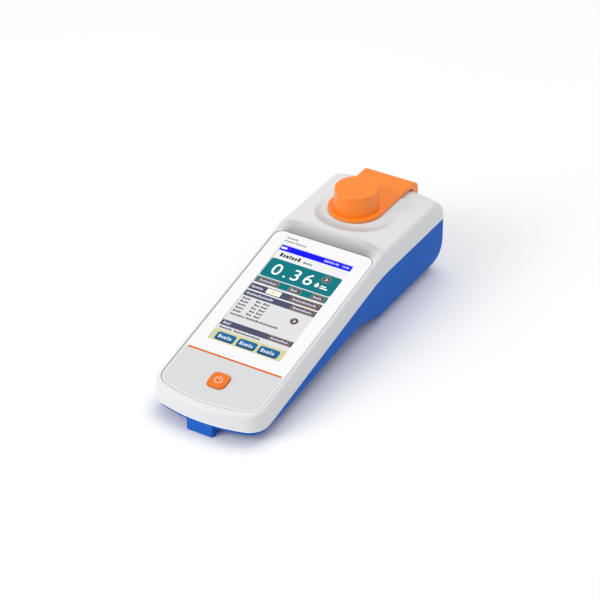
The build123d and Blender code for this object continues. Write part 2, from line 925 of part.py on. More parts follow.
# Flat cable that turns back from the display to its connector on the board
panel_side = Plane(origin=panel.origin, x_dir=panel.y_dir, z_dir=(1, 0, 0))
connector_level = board_depth - chip_height
with BuildPart() as display_flex:
    with BuildSketch(panel_side):
        with BuildLine():
            FilletPolyline(
                (connector_s + display_flex_half_width / 2, -bracket_top - flex_thickness / 2),
                (connector_s - display_flex_half_width / 2, -bracket_top - flex_thickness / 2),
                (connector_s - display_flex_half_width / 2, -connector_level + flex_thickness / 2),
                (connector_s, -connector_level + flex_thickness / 2),
                radius=flex_bend,
            )
        trace(line_width=flex_thickness)
    extrude(amount=display_flex_half_width, both=True)
display_flex.part.label = "display_flex"
export_step(display_flex.part, "parts/display_flex.step")

# Sample chamber: black moulding with the well, a top flange and three optical ports
well_axis = (0, well_y, optic_height)
flex_radius = port_reach + optic_board_thickness + connector_height
port_directions = {"source": (0, -1, 0), "scatter": (1, 0, 0), "transmitted": (0, 1, 0)}


def port_plane(direction, distance=0.0):
    """Plane across an optical port at a distance from the axis of the well."""
    return Plane(origin=well_axis, x_dir=(direction[1], -direction[0], 0), z_dir=direction).offset(distance)


with BuildPart() as sample_chamber:
    with BuildSketch(Plane.XY.offset(well_floor - chamber_floor)):
        with Locations((0, well_y)):
            Circle(chamber_radius)
    extrude(amount=chamber_top - well_floor + chamber_floor)
    with BuildSketch(Plane.XY.offset(chamber_top - chamber_flange)):
        with Locations((0, well_y)):
            Circle(chamber_flange_radius)
            with PolarLocations(chamber_screw_circle, 4, start_angle=45):
                Circle(small_screw_radius + screw_fit, mode=Mode.SUBTRACT)
    extrude(amount=chamber_flange)
    for direction in port_directions.values():
        with BuildSketch(port_plane(direction)):
            Circle(port_radius)
        extrude(amount=port_reach)
        with BuildSketch(port_plane(direction, port_reach - port_plate_thickness)):
            RectangleRounded(port_plate, port_plate, 2 * screw_fit + small_screw_radius)
        extrude(amount=port_plate_thickness)
    with BuildSketch(Plane.XY.offset(well_floor)):
        with Locations((0, well_y)):
            Circle(well_radius)
    extrude(amount=chamber_top - well_floor, mode=Mode.SUBTRACT)
    for direction in port_directions.values():
        with BuildSketch(port_plane(direction)):
            Circle(aperture_radius)
        extrude(amount=port_reach, mode=Mode.SUBTRACT)
        with BuildSketch(port_plane(direction, lens_seat)):
            Circle(port_bore_radius)
        extrude(amount=port_reach - lens_seat, mode=Mode.SUBTRACT)
        with BuildSketch(port_plane(direction, port_reach - port_plate_thickness)):
            with Locations((-port_screw_offset, -port_screw_offset), (port_screw_offset, port_screw_offset)):
                Circle(small_screw_radius + screw_fit)
        extrude(amount=port_plate_thickness, mode=Mode.SUBTRACT)
sample_chamber.part.label = "sample_chamber"
export_step(sample_chamber.part, "parts/sample_chamber.step")

with BuildPart() as chamber_screws:
    for place in PolarLocations(chamber_screw_circle, 4, start_angle=45):
        seat = Plane(
            origin=(place.position.X, well_y + place.position.Y, chamber_top - chamber_flange), z_dir=(0, 0, 1)
        )
        add(screw(seat, small_screw_radius, small_screw_length, small_head_radius, small_head))
chamber_screws.part.label = "chamber_screws"
export_step(chamber_screws.part, "parts/chamber_screws.step")


def lens(direction):
    """Plano-convex lens that rests on the step in its port."""
    with BuildPart() as body:
        with BuildSketch(port_plane(direction, lens_seat)):
            Circle(port_bore_radius - optic_fit)
        extrude(amount=lens_thickness)
        with Locations(port_plane(direction, lens_seat + lens_thickness - lens_curve)):
            Sphere(lens_curve, mode=Mode.INTERSECT)
    return body.part


def retainer(direction):
    """Black tube that keeps the lens against its step."""
    with BuildPart() as body:
        with BuildSketch(port_plane(direction, lens_seat + lens_thickness)):
            Circle(port_bore_radius - optic_fit)
            Circle(retainer_bore_radius, mode=Mode.SUBTRACT)
        extrude(amount=port_reach - can_length - lens_seat - lens_thickness)
    return body.part


def detector_can(direction):
    """Round metal can of a light detector, with its rim against the board."""
    with BuildPart() as body:
        with BuildSketch(port_plane(direction, port_reach)):
            Circle(port_bore_radius - optic_fit)
        extrude(amount=-can_length / 6)
        with BuildSketch(port_plane(direction, port_reach - can_length / 6)):
            Circle(port_bore_radius - 10 * optic_fit)
        extrude(amount=can_length / 6 - can_length)
    return body.part


def lamp_bulb(direction):
    """Domed lamp with a flat base ring against the board."""
    radius = retainer_bore_radius - 2 * optic_fit
    with BuildPart() as body:
        with BuildSketch(port_plane(direction, port_reach)):
            Circle(port_bore_radius - optic_fit)
        extrude(amount=-can_length / 6)
        with BuildSketch(port_plane(direction, port_reach - can_length / 6)):
            Circle(radius)
        extrude(amount=radius - can_length)
        fillet(body.faces().sort_by(Axis(well_axis, direction))[0].edges(), radius * 0.8)
    return body.part


def optic_board(direction):
    """Small square board that closes the end of a port, with its cable connector."""
    with BuildPart() as body:
        with BuildSketch(port_plane(direction, port_reach)):
            Rectangle(port_plate, port_plate)
            with Locations((-port_screw_offset, -port_screw_offset), (port_screw_offset, port_screw_offset)):
                Circle(small_screw_radius + screw_fit, mode=Mode.SUBTRACT)
        extrude(amount=optic_board_thickness)
        with BuildSketch(port_plane(direction, port_reach + optic_board_thickness)):
            Rectangle(2 * flex_half_width, flex_half_width)
        extrude(amount=connector_height)
        with BuildSketch():
            with Locations((0, well_y)):
                Circle(flex_radius)
        extrude(amount=tall, mode=Mode.INTERSECT)
    return body.part


source_direction = port_directions["source"]
scatter_direction = port_directions["scatter"]
transmitted_direction = port_directions["transmitted"]

with BuildPart() as source_lens:
    add(lens(source_direction))
source_lens.part.label = "source_lens"
export_step(source_lens.part, "parts/source_lens.step")

with BuildPart() as scatter_lens:
    add(lens(scatter_direction))
scatter_lens.part.label = "scatter_lens"
export_step(scatter_lens.part, "parts/scatter_lens.step")

with BuildPart() as transmitted_lens:
    add(lens(transmitted_direction))
transmitted_lens.part.label = "transmitted_lens"
export_step(transmitted_lens.part, "parts/transmitted_lens.step")

with BuildPart() as lens_retainers:
    for direction in port_directions.values():
        add(retainer(direction))
lens_retainers.part.label = "lens_retainers"
export_step(lens_retainers.part, "parts/lens_retainers.step")

with BuildPart() as source_lamp:
    add(lamp_bulb(source_direction))
source_lamp.part.label = "source_lamp"
export_step(source_lamp.part, "parts/source_lamp.step")

with BuildPart() as scatter_detector:
    add(detector_can(scatter_direction))
scatter_detector.part.label = "scatter_detector"
export_step(scatter_detector.part, "parts/scatter_detector.step")

with BuildPart() as transmitted_detector:
    add(detector_can(transmitted_direction))
transmitted_detector.part.label = "transmitted_detector"
export_step(transmitted_detector.part, "parts/transmitted_detector.step")

with BuildPart() as source_board:
    add(optic_board(source_direction))
source_board.part.label = "source_board"
export_step(source_board.part, "parts/source_board.step")

with BuildPart() as scatter_board:
    add(optic_board(scatter_direction))
scatter_board.part.label = "scatter_board"
export_step(scatter_board.part, "parts/scatter_board.step")

with BuildPart() as transmitted_board:
    add(optic_board(transmitted_direction))
transmitted_board.part.label = "transmitted_board"
export_step(transmitted_board.part, "parts/transmitted_board.step")

with BuildPart() as optic_screws:
    for direction in port_directions.values():
        outer_face = port_plane(direction, port_reach + optic_board_thickness)
        for offset_along in (-port_screw_offset, port_screw_offset):
            seat = Plane(
                outer_face.from_local_coords((offset_along, offset_along, 0)), z_dir=Vector(*direction) * -1
            )
            shank = optic_board_thickness + port_plate_thickness
            add(screw(seat, small_screw_radius, shank, small_head_radius, small_head))
optic_screws.part.label = "optic_screws"
export_step(optic_screws.part, "parts/optic_screws.step")

# Flat cable round the chamber that joins the three optical boards
with BuildPart() as optics_flex:
    with BuildSketch(Plane.XY.offset(optic_height - flex_half_width / 2)):
        with Locations((0, well_y)):
            Circle(flex_radius + flex_thickness)
            Circle(flex_radius, mode=Mode.SUBTRACT)
        with Locations((-wide / 2 - flex_half_width, well_y)):
            Rectangle(wide, wide, mode=Mode.SUBTRACT)
    extrude(amount=flex_half_width)
optics_flex.part.label = "optics_flex"
export_step(optics_flex.part, "parts/optics_flex.step")

# Flat cable from there up to the connector under the main board
board_rear = panel_level(board_bottom + chip_height).from_local_coords((0, board_rear_s - chip_height, 0))
cable_y = well_y - flex_radius - 1.5 * flex_thickness
with BuildPart() as sensor_flex:
    with BuildSketch(Plane.YZ):
        with BuildLine():
            FilletPolyline(
                (cable_y, optic_height - flex_half_width / 2),
                (cable_y, board_rear.Z - 4 * flex_bend),
                (board_rear.Y, board_rear.Z - flex_thickness),
                radius=2 * flex_bend,
            )
        trace(line_width=flex_thickness)
    extrude(amount=flex_half_width, both=True)
sensor_flex.part.label = "sensor_flex"
export_step(sensor_flex.part, "parts/sensor_flex.step")

# Collar round the mouth of the well, with a channel for the seal of the lid
with BuildPart() as well_collar:
    with BuildSketch(Plane.XZ.offset(-well_y)):
        with BuildLine():
            Polyline(
                (collar_bore_radius, chamber_top),
                (collar_neck_radius, chamber_top),
                (collar_neck_radius, collar_ledge),
                (collar_radius, collar_ledge),
                (collar_radius, lid_seat_height),
                (seat_outer_radius, lid_seat_height),
                (seat_outer_radius, lid_seat_height - seat_depth),
                (seat_inner_radius, lid_seat_height - seat_depth),
                (seat_inner_radius, lid_seat_height),
                (collar_bore_radius, lid_seat_height),
                close=True,
            )
        make_face()
    revolve(axis=Axis((0, well_y, 0), (0, 0, 1)))
well_collar.part.label = "well_collar"
export_step(well_collar.part, "parts/well_collar.step")

# Lid: plate, hollow cap over the vial, and a tail that ends in the hinge knuckle
bend_y = tail_rear_y - lid_bend_radius
with BuildPart() as lid:
    with BuildSketch(Plane.YZ) as arm:
        with BuildLine():
            Polyline(
                (round_y, lid_under),
                (round_y, round_z),
                (tail_front_y, round_z),
                (tail_front_y, lid_under),
                close=True,
            )
        make_face()
        with Locations((round_y, round_z)):
            Circle(lid_under - round_z, mode=Mode.SUBTRACT)
        with BuildLine():
            Polyline(
                (well_y - lid_half_width, lid_under),
                (well_y - lid_half_width, lid_top),
                (tail_rear_y, lid_top),
                (tail_rear_y, hinge_z),
                (tail_front_y, hinge_z),
                (tail_front_y, lid_under),
                close=True,
            )
        make_face()
        fillet(arm.vertices().sort_by_distance((tail_rear_y, lid_top))[0], lid_bend_radius)
        with Locations((hinge_y, hinge_z)):
            Circle(knuckle_radius)
            Circle(pin_radius + pin_clearance, mode=Mode.SUBTRACT)
    extrude(amount=lid_half_width, both=True)
    with BuildSketch():
        add(lid_outline(0, wide))
    extrude(amount=tall, mode=Mode.INTERSECT)
    fillet(lid.edges().filter_by(GeomType.CIRCLE).group_by(Axis.Z)[-1], lid_edge_round)
    with BuildSketch(Plane.XY.offset(lid_top)):
        with Locations((0, well_y)):
            Circle(cap_base_radius)
    cap_taper = atan((cap_base_radius - cap_top_radius) / cap_height) * 180 / 3.14159
    extrude(amount=cap_height, taper=cap_taper)
    fillet(lid.edges().filter_by(GeomType.CIRCLE).sort_by(Axis.Z)[-1], cap_edge_round)
    with BuildSketch(Plane.XY.offset(lid_under)):
        with Locations((0, well_y)):
            Circle(cap_base_radius - cap_wall)
    extrude(amount=lid_plate + cap_height - cap_wall, taper=cap_taper, mode=Mode.SUBTRACT)
    with BuildSketch(Plane.XY.offset(lid_under)):
        with Locations((0, well_y)):
            Circle(seal_outer_radius)
            Circle(seal_inner_radius, mode=Mode.SUBTRACT)
    extrude(amount=seal_groove, mode=Mode.SUBTRACT)
lid.part.label = "lid"
export_step(lid.part, "parts/lid.step")

# Soft ring under the lid that shuts out stray light
with BuildPart() as lid_seal:
    with BuildSketch(Plane.XY.offset(lid_seat_height - seat_depth + seal_gap)):
        with Locations((0, well_y)):
            Circle(seal_outer_radius)
            Circle(seal_inner_radius, mode=Mode.SUBTRACT)
    extrude(amount=lid_under + seal_groove - lid_seat_height + seat_depth - seal_gap)
lid_seal.part.label = "lid_seal"
export_step(lid_seal.part, "parts/lid_seal.step")

# Steel pin, tight in the cheeks of the notch and free in the knuckle
with BuildPart() as hinge_pin:
    with BuildSketch(Plane.YZ):
        with Locations((hinge_y, hinge_z)):
            Circle(pin_radius)
    extrude(amount=pin_half_length, both=True)
hinge_pin.part.label = "hinge_pin"
export_step(hinge_pin.part, "parts/hinge_pin.step")

# Four cells side by side, alternate ones turned round
cell_end = -bay_length / 2 + contact_thickness
cell_places = [((index - (cell_count - 1) / 2) * cell_pitch, 1 - 2 * (index % 2)) for index in range(cell_count)]
spring_length = bay_length - 2 * contact_thickness - cell_length - cell_nub
along = underside.y_dir


def bay_plane(x, along_y, facing):
    """Plane across a cell, at a place along the bay, facing its positive end."""
    return Plane(underside.from_local_coords((x, facing * along_y, cell_level)), z_dir=along * facing)


with BuildPart() as battery_cells:
    for x, facing in cell_places:
        body_start = cell_end + spring_length
        with BuildSketch(bay_plane(x, body_start, facing)):
            Circle(cell_radius)
        extrude(amount=cell_length)
        with BuildSketch(bay_plane(x, body_start + cell_length, facing)):
            Circle(cell_nub_radius)
        extrude(amount=cell_nub)
battery_cells.part.label = "battery_cells"
export_step(battery_cells.part, "parts/battery_cells.step")

# Spring contacts at the flat ends and plates at the raised ends
with BuildPart() as battery_contacts:
    for x, facing in cell_places:
        for end in (-1, 1):
            with BuildSketch(bay_plane(x, end * bay_length / 2, facing)):
                Rectangle(contact_width, contact_height)
            extrude(amount=-end * contact_thickness)
        with BuildSketch(bay_plane(x, cell_end, facing)):
            Circle(spring_radius)
        with BuildSketch(bay_plane(x, cell_end + spring_length, facing)):
            Circle(spring_tip_radius)
        loft()
battery_contacts.part.label = "battery_contacts"
export_step(battery_contacts.part, "parts/battery_contacts.step")

# Battery cover, flush with the underside, with grip ribs inside its outline
with BuildPart() as battery_cover:
    with BuildSketch(underside):
        add(cover_outline(0))
        with Locations(cover_screw_place):
            Circle(small_screw_radius + screw_fit, mode=Mode.SUBTRACT)
    extrude(amount=cover_thickness)
    with BuildSketch(underside):
        with Locations(cover_screw_place):
            Circle(small_head_radius + screw_fit)
    extrude(amount=small_head, mode=Mode.SUBTRACT)
    with BuildSketch(underside):
        with Locations((0, bay_length / 3)):
            with GridLocations(0, 2.4, 1, 5):
                SlotOverall(24.0, 1.2)
    extrude(amount=cover_thickness / 4, mode=Mode.SUBTRACT)
battery_cover.part.label = "battery_cover"
export_step(battery_cover.part, "parts/battery_cover.step")

with BuildPart() as cover_screw:
    seat = Plane(
        underside.from_local_coords((cover_screw_place[0], cover_screw_place[1], small_head)),
        z_dir=underside.z_dir,
    )
    add(screw(seat, small_screw_radius, small_screw_length, small_head_radius, small_head))
cover_screw.part.label = "cover_screw"
export_step(cover_screw.part, "parts/cover_screw.step")

with BuildPart() as housing_screws:
    for x, y, seat_z, split, length in shell_screws:
        seat = Plane(origin=(x, y, seat_z), z_dir=(0, 0, 1))
        add(screw(seat, screw_radius, length, screw_head_radius, screw_head))
housing_screws.part.label = "housing_screws"
export_step(housing_screws.part, "parts/housing_screws.step")

with BuildPart() as rubber_feet:
    with BuildSketch():
        with Locations(*pad_places):
            Circle(pad_radius)
    extrude(amount=base_z + pad_depth)
rubber_feet.part.label = "rubber_feet"
export_step(rubber_feet.part, "parts/rubber_feet.step")

with BuildPart() as front_foot_pad:
    with BuildSketch():
        with Locations((0, foot_middle_y)):
            Rectangle(foot_pad_width, foot_pad_length)
    extrude(amount=base_z + pad_depth)
front_foot_pad.part.label = "front_foot_pad"
export_step(front_foot_pad.part, "parts/front_foot_pad.step")

# Data socket: metal shell with a tongue, on a small board behind the rear wall
socket_rear_y = rear_y - socket_setback
with BuildPart() as data_socket:
    with BuildSketch(Plane.XZ.offset(-socket_rear_y)):
        with Locations((0, socket_z)):
            RectangleRounded(socket_width, socket_height, socket_height * 0.45)
    extrude(amount=socket_length)
    with BuildSketch(Plane.XZ.offset(-socket_rear_y)):
        with Locations((0, socket_z)):
            RectangleRounded(
                socket_width - 2 * socket_shell, socket_height - 2 * socket_shell, socket_height * 0.35
            )
            Rectangle(socket_width * 0.7, socket_height * 0.22, mode=Mode.SUBTRACT)
    extrude(amount=socket_length * 0.8, mode=Mode.SUBTRACT)
data_socket.part.label = "data_socket"
export_step(data_socket.part, "parts/data_socket.step")

board_top = socket_z - socket_height / 2
with BuildPart() as socket_board:
    with BuildSketch(Plane.XY.offset(board_top - socket_board_thickness)):
        with Locations((0, (socket_board_front_y + socket_board_rear_y) / 2)):
            Rectangle(2 * socket_board_half_width, socket_board_rear_y - socket_board_front_y)
        with Locations(*[(side * socket_post_x, socket_post_y) for side in (-1, 1)]):
            Circle(small_screw_radius + screw_fit, mode=Mode.SUBTRACT)
    extrude(amount=socket_board_thickness)
socket_board.part.label = "socket_board"
export_step(socket_board.part, "parts/socket_board.step")

with BuildPart() as socket_screws:
    for side in (-1, 1):
        seat = Plane(origin=(side * socket_post_x, socket_post_y, board_top), z_dir=(0, 0, -1))
        add(screw(seat, small_screw_radius, small_screw_length, small_head_radius, small_head))
socket_screws.part.label = "socket_screws"
export_step(socket_screws.part, "parts/socket_screws.step")
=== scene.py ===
# %% [markdown]
# A portable turbidimeter measures how cloudy a sample of water is. This lesson dresses its
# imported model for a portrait. The model already has its true shapes, so we load it as a fixed
# frame, and then give each piece the material that the real one is made of.

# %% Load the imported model
import math

import bmesh
import bpy
from mathutils import Matrix, Vector


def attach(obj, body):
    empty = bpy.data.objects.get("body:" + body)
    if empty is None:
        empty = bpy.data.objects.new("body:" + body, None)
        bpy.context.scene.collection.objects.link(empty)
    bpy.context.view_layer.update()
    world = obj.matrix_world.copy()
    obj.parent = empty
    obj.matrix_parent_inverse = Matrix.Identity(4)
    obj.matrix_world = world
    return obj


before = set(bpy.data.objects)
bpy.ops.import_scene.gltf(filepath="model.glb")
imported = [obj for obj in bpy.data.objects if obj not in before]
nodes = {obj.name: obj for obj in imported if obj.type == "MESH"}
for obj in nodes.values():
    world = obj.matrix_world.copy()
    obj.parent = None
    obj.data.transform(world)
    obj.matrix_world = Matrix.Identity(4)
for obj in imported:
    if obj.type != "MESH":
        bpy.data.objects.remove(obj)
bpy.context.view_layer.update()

mm = 0.001
print("pieces in the frame:", len(nodes))

# %% [markdown]
# The camera stands where the photographer's did: a little to the right of the front and well
# above the bench, far away with a long lens, so that parallel edges hardly converge. We build
# its three axes from two angles, and then step away from a point on the bench, below the
# display's lower edge: a long way back, and a little right and up, which brings the instrument
# to the middle of the picture.

# %% Camera
AZIMUTH = 30.725
ELEVATION = 33.529
IMAGE_SIDE = 600
FOCAL_PIXELS = 2465.76
SENSOR_WIDTH = 36
BENCH_POINT = Vector((0, -71.4, 0.5))
STEP_RIGHT = 35.864
STEP_UP = 58.259
STEP_BACK = 1591.343


def camera_axes(azimuth, elevation):
    """Right, up and backward directions of a camera that looks at the instrument."""
    a = math.radians(azimuth)
    e = math.radians(elevation)
    right = Vector((math.cos(a), math.sin(a), 0))
    back = Vector((math.sin(a) * math.cos(e), -math.cos(a) * math.cos(e), math.sin(e)))
    return right, back.cross(right), back


right, up, back = camera_axes(AZIMUTH, ELEVATION)
camera_data = bpy.data.cameras.new("portrait_camera")
camera_data.sensor_width = SENSOR_WIDTH
camera_data.lens = FOCAL_PIXELS / IMAGE_SIDE * camera_data.sensor_width
camera_data.clip_end = 20
camera = bpy.data.objects.new("portrait_camera", camera_data)
camera_place = (right * STEP_RIGHT + up * STEP_UP + back * STEP_BACK + BENCH_POINT) * mm
turned = Matrix((right, up, back)).transposed().to_4x4()
camera.matrix_world = Matrix.Translation(camera_place) @ turned
bpy.context.scene.collection.objects.link(camera)
bpy.context.scene.camera = camera
print("lens in mm:", round(camera_data.lens, 1))

# %% [markdown]
# A catalogue portrait uses a pale table and large soft lamps. One broad lamp over the front
# left makes the front wall the brightest side, and one above draws soft highlights along the
# rounded edges. The sky is plain white, and it alone fills the right side, which stays darker.

# %% Table and light
SKY_STRENGTH = 0.61
TABLE_REACH = 6
AIM = (0, 0, 0.03)


def srgb(hex_colour):
    """Turns a hex colour, as a paint chart gives it, into linear light."""
    channels = [int(hex_colour[i:i + 2], 16) / 255 for i in (1, 3, 5)]
    linear = [c / 12.92 if c <= 0.04045 else ((c + 0.055) / 1.055) ** 2.4 for c in channels]
    return (*linear, 1.0)


def softbox(name, place, size, power):
    """Adds a square lamp that faces the instrument."""
    data = bpy.data.lights.new(name, "AREA")
    data.size = size
    data.energy = power
    lamp = bpy.data.objects.new(name, data)
    lamp.location = place
    lamp.rotation_euler = (Vector(AIM) - Vector(place)).to_track_quat("-Z", "Y").to_euler()
    bpy.context.scene.collection.objects.link(lamp)


softbox("front_left_softbox", (-0.7, -1.3, 0.9), 0.9, 12.7)
softbox("overhead_softbox", (0.1, 0.5, 1.5), 1.2, 9)

world = bpy.data.worlds.new("studio")
world.use_nodes = True
sky = world.node_tree.nodes["Background"]
sky.inputs["Color"].default_value = srgb("#FFFFFF")
sky.inputs["Strength"].default_value = SKY_STRENGTH
bpy.context.scene.world = world
bpy.context.scene.view_settings.view_transform = "Standard"

table_mesh = bpy.data.meshes.new("table")
corners = [(x * TABLE_REACH, y * TABLE_REACH, 0) for x, y in ((-1, -1), (1, -1), (1, 1), (-1, 1))]
table_mesh.from_pydata(corners, [], [(0, 1, 2, 3)])
table = bpy.data.objects.new("table", table_mesh)
bpy.context.scene.collection.objects.link(table)
print("lamps:", len(bpy.data.lights), "and the sky at", SKY_STRENGTH)

# %% [markdown]
# Every finish below is a small graph of shader nodes. One helper adds a node, sets its fields,
# and either fills a socket with a value or links another node's output into it. Two more start
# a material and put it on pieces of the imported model.

# %% Helpers for all materials
def add_node(tree, kind, sockets=None, **fields):
    """Adds a node, sets its fields, and fills or links its sockets."""
    node = tree.nodes.new(kind)
    for field, value in fields.items():
        setattr(node, field, value)
    for socket, value in (sockets or {}).items():
        if isinstance(value, bpy.types.NodeSocket):
            tree.links.new(value, node.inputs[socket])
        else:
            node.inputs[socket].default_value = value
    return node


def new_material(name):
    """A material with a Principled shader. Returns the material, its tree and the shader."""
    material = bpy.data.materials.new(name)
    material.use_nodes = True
    tree = material.node_tree
    return material, tree, tree.nodes["Principled BSDF"]


def dress(material, *names):
    """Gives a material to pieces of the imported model."""
    for name in names:
        for slot in nodes[name].material_slots:
            slot.material = material


# %% [markdown]
# Matt painted board makes a quiet table. It is never quite even, so a broad, faint noise
# varies its brightness by a percent or two. Its clouds are a third of a metre across.

# %% Painted board for the table
material, tree, shader = new_material("painted_board")
place = add_node(tree, "ShaderNodeTexCoord").outputs["Object"]
cloud = add_node(tree, "ShaderNodeTexNoise", {"Vector": place, "Scale": 3.0, "Detail": 3.0})
tint = add_node(tree, "ShaderNodeMix",
                {"Factor": cloud.outputs["Fac"], "A": srgb("#F7F7F7"), "B": srgb("#FAFAFA")},
                data_type="RGBA")
tree.links.new(tint.outputs["Result"], shader.inputs["Base Color"])
shader.inputs["Roughness"].default_value = 0.8
shader.inputs["Specular IOR Level"].default_value = 0.2
table.data.materials.append(material)
print("table:", material.name)

# %% [markdown]
# Finishes and printed pieces change from place to place on the sloping deck, so we measure
# places along the slope, across it and above it, in millimetres. They start in the middle of
# the display's lower edge.

# %% The sloping deck
TILT = math.radians(12.26)
DISPLAY_FOOT_Y = -71.4
DECK_FRONT_Y = -125.5
DECK_FRONT_HEIGHT = 21.0
DECK_RISE = math.tan(TILT) * (DISPLAY_FOOT_Y - DECK_FRONT_Y)
DECK_ORIGIN = Vector((0, DISPLAY_FOOT_Y, DECK_FRONT_HEIGHT + DECK_RISE)) * mm
DECK_UP = Vector((0, math.cos(TILT), math.sin(TILT)))
DECK_NORMAL = Vector((0, -math.sin(TILT), math.cos(TILT)))


def on_deck(x, s, height=0.0):
    """Point at x across and s up the deck from the display's lower edge, in mm."""
    return DECK_ORIGIN + (Vector((x, 0, 0)) + DECK_UP * s + DECK_NORMAL * height) * mm


print("display's lower edge:", [round(c / mm, 2) for c in DECK_ORIGIN])

# %% [markdown]
# Both shells are injection moulded ABS. The mould was spark eroded, which leaves a fine pebbled
# grain, so highlights spread into a soft sheen. The real grain is about 0.15 mm across, too fine
# to show from here, so it is drawn at 0.4 mm. A second, slower noise varies the roughness, as
# handling does. The blue shell is a little duller than the grey one. The lid and the button come
# from polished moulds, so they reuse the same recipe with a shallower grain and a glossier skin.

# %% Moulded ABS
HANDLING_MM = 25
GRAIN_MM = 0.4


def moulded_abs(name, colour, worn_colour, grain_mm=GRAIN_MM, grain_height_mm=0.004,
                roughness=0.42, gloss=0.25):
    """ABS as it leaves the mould: one body colour, a pebbled grain and uneven sheen."""
    material, tree, shader = new_material(name)
    place = add_node(tree, "ShaderNodeTexCoord").outputs["Object"]
    grain = add_node(tree, "ShaderNodeTexNoise",
                     {"Vector": place, "Scale": 1 / (grain_mm * mm), "Detail": 2.0,
                      "Roughness": 0.6})
    handling = add_node(tree, "ShaderNodeTexNoise",
                        {"Vector": place, "Scale": 1 / (HANDLING_MM * mm), "Detail": 4.0})
    body = add_node(tree, "ShaderNodeMix",
                    {"Factor": handling.outputs["Fac"], "A": srgb(colour),
                     "B": srgb(worn_colour)}, data_type="RGBA")
    tree.links.new(body.outputs["Result"], shader.inputs["Base Color"])
    sheen = add_node(tree, "ShaderNodeMapRange",
                     {"Value": handling.outputs["Fac"], "To Min": roughness - 0.05,
                      "To Max": roughness + 0.05})
    tree.links.new(sheen.outputs["Result"], shader.inputs["Roughness"])
    bump = add_node(tree, "ShaderNodeBump",
                    {"Height": grain.outputs["Fac"], "Distance": grain_height_mm * mm,
                     "Strength": 1.0})
    tree.links.new(bump.outputs["Normal"], shader.inputs["Normal"])
    shader.inputs["IOR"].default_value = 1.53
    shader.inputs["Specular IOR Level"].default_value = gloss
    return material


POLISHED_HEIGHT_MM = 0.0015
grey_abs = moulded_abs("light_grey_moulded_abs", "#DADBDD", "#DCDDDF")
blue_abs = moulded_abs("blue_moulded_abs", "#205FBC", "#2362C0", roughness=0.5, gloss=0.05)
orange_abs = moulded_abs("orange_polished_abs", "#FA8418", "#FC881E",
                         grain_height_mm=POLISHED_HEIGHT_MM, roughness=0.28, gloss=0.45)
deep_orange_abs = moulded_abs("deep_orange_polished_abs", "#E6700E", "#E87414",
                              grain_height_mm=POLISHED_HEIGHT_MM, gloss=0.3)
dress(grey_abs, "top_housing")
dress(blue_abs, "bottom_housing", "battery_cover")
dress(orange_abs, "lid")
dress(deep_orange_abs, "power_button")
print("pebbles on the shells, in mm:", GRAIN_MM)

# %% [markdown]
# Hollows of the upper shell get painted shade: their colour is darkened where light reaches them
# less. There are two, the fold where the head rises from the deck, and the foot of the mound
# round the lid. Each painted shade is a product of ramps. A ramp goes from one level to another
# between two distances, in millimetres, and holds outside them. The fold's first ramp goes by
# the height above the deck, and the foot's by the distance from the line under the lid's middle.
# The other ramps end the shade where its hollow ends.

# %% Shade in the hollows
HEAD_FOOT_Y = 33.2
RIDGE_Y = 42.6
WELL_Y = 72.9
MOUND_FOOT = 27.5


def painted_shade(tree, *ramps):
    """Product of ramps, each (coordinate, start mm, end mm, level at start, level at end)."""
    result = None
    for coordinate, start_mm, end_mm, start_level, end_level in ramps:
        level = add_node(tree, "ShaderNodeMapRange",
                         {"Value": coordinate, "From Min": start_mm * mm, "From Max": end_mm * mm,
                          "To Min": start_level, "To Max": end_level}).outputs["Result"]
        if result is not None:
            level = add_node(tree, "ShaderNodeMath", {0: result, 1: level},
                             operation="MULTIPLY").outputs[0]
        result = level
    return result


tree = grey_abs.node_tree
shader = tree.nodes["Principled BSDF"]
place = add_node(tree, "ShaderNodeTexCoord").outputs["Object"]
offset = add_node(tree, "ShaderNodeVectorMath", {0: place, 1: DECK_ORIGIN},
                  operation="SUBTRACT").outputs[0]
above = add_node(tree, "ShaderNodeVectorMath", {0: offset, 1: DECK_NORMAL},
                 operation="DOT_PRODUCT").outputs["Value"]
parts_of_place = add_node(tree, "ShaderNodeSeparateXYZ", {"Vector": place})
rearward = parts_of_place.outputs["Y"]
aside = add_node(tree, "ShaderNodeMath", {0: parts_of_place.outputs["X"]},
                 operation="ABSOLUTE").outputs[0]
# Painted shade in the fold where the head rises from the deck.
fold_painted_shade = painted_shade(tree,
                (above, 0.4, 4.6, 0.55, 0.0),
                (rearward, HEAD_FOOT_Y - 0.4, HEAD_FOOT_Y, 0.0, 1.0),
                (rearward, RIDGE_Y - 2, RIDGE_Y + 2, 1.0, 0.0),
                (aside, 29, 39, 1.0, 0.0))

from_well = add_node(tree, "ShaderNodeMath", {0: rearward, 1: WELL_Y * mm},
                     operation="SUBTRACT").outputs[0]
ahead = add_node(tree, "ShaderNodeMath", {0: from_well, 1: 0.0}, operation="MINIMUM").outputs[0]
from_spine = add_node(tree, "ShaderNodeCombineXYZ", {"X": aside, "Y": ahead}).outputs[0]
reach = add_node(tree, "ShaderNodeVectorMath", {0: from_spine},
                 operation="LENGTH").outputs["Value"]
# Painted shade round the foot of the mound under the lid.
mound_foot_painted_shade = painted_shade(tree,
                (reach, MOUND_FOOT - 7, MOUND_FOOT - 1, 0.05, 0.32),
                (reach, MOUND_FOOT - 0.5, MOUND_FOOT + 1.5, 1.0, 0.0),
                (rearward, WELL_Y - 20, WELL_Y + 8, 1.0, 0.0))

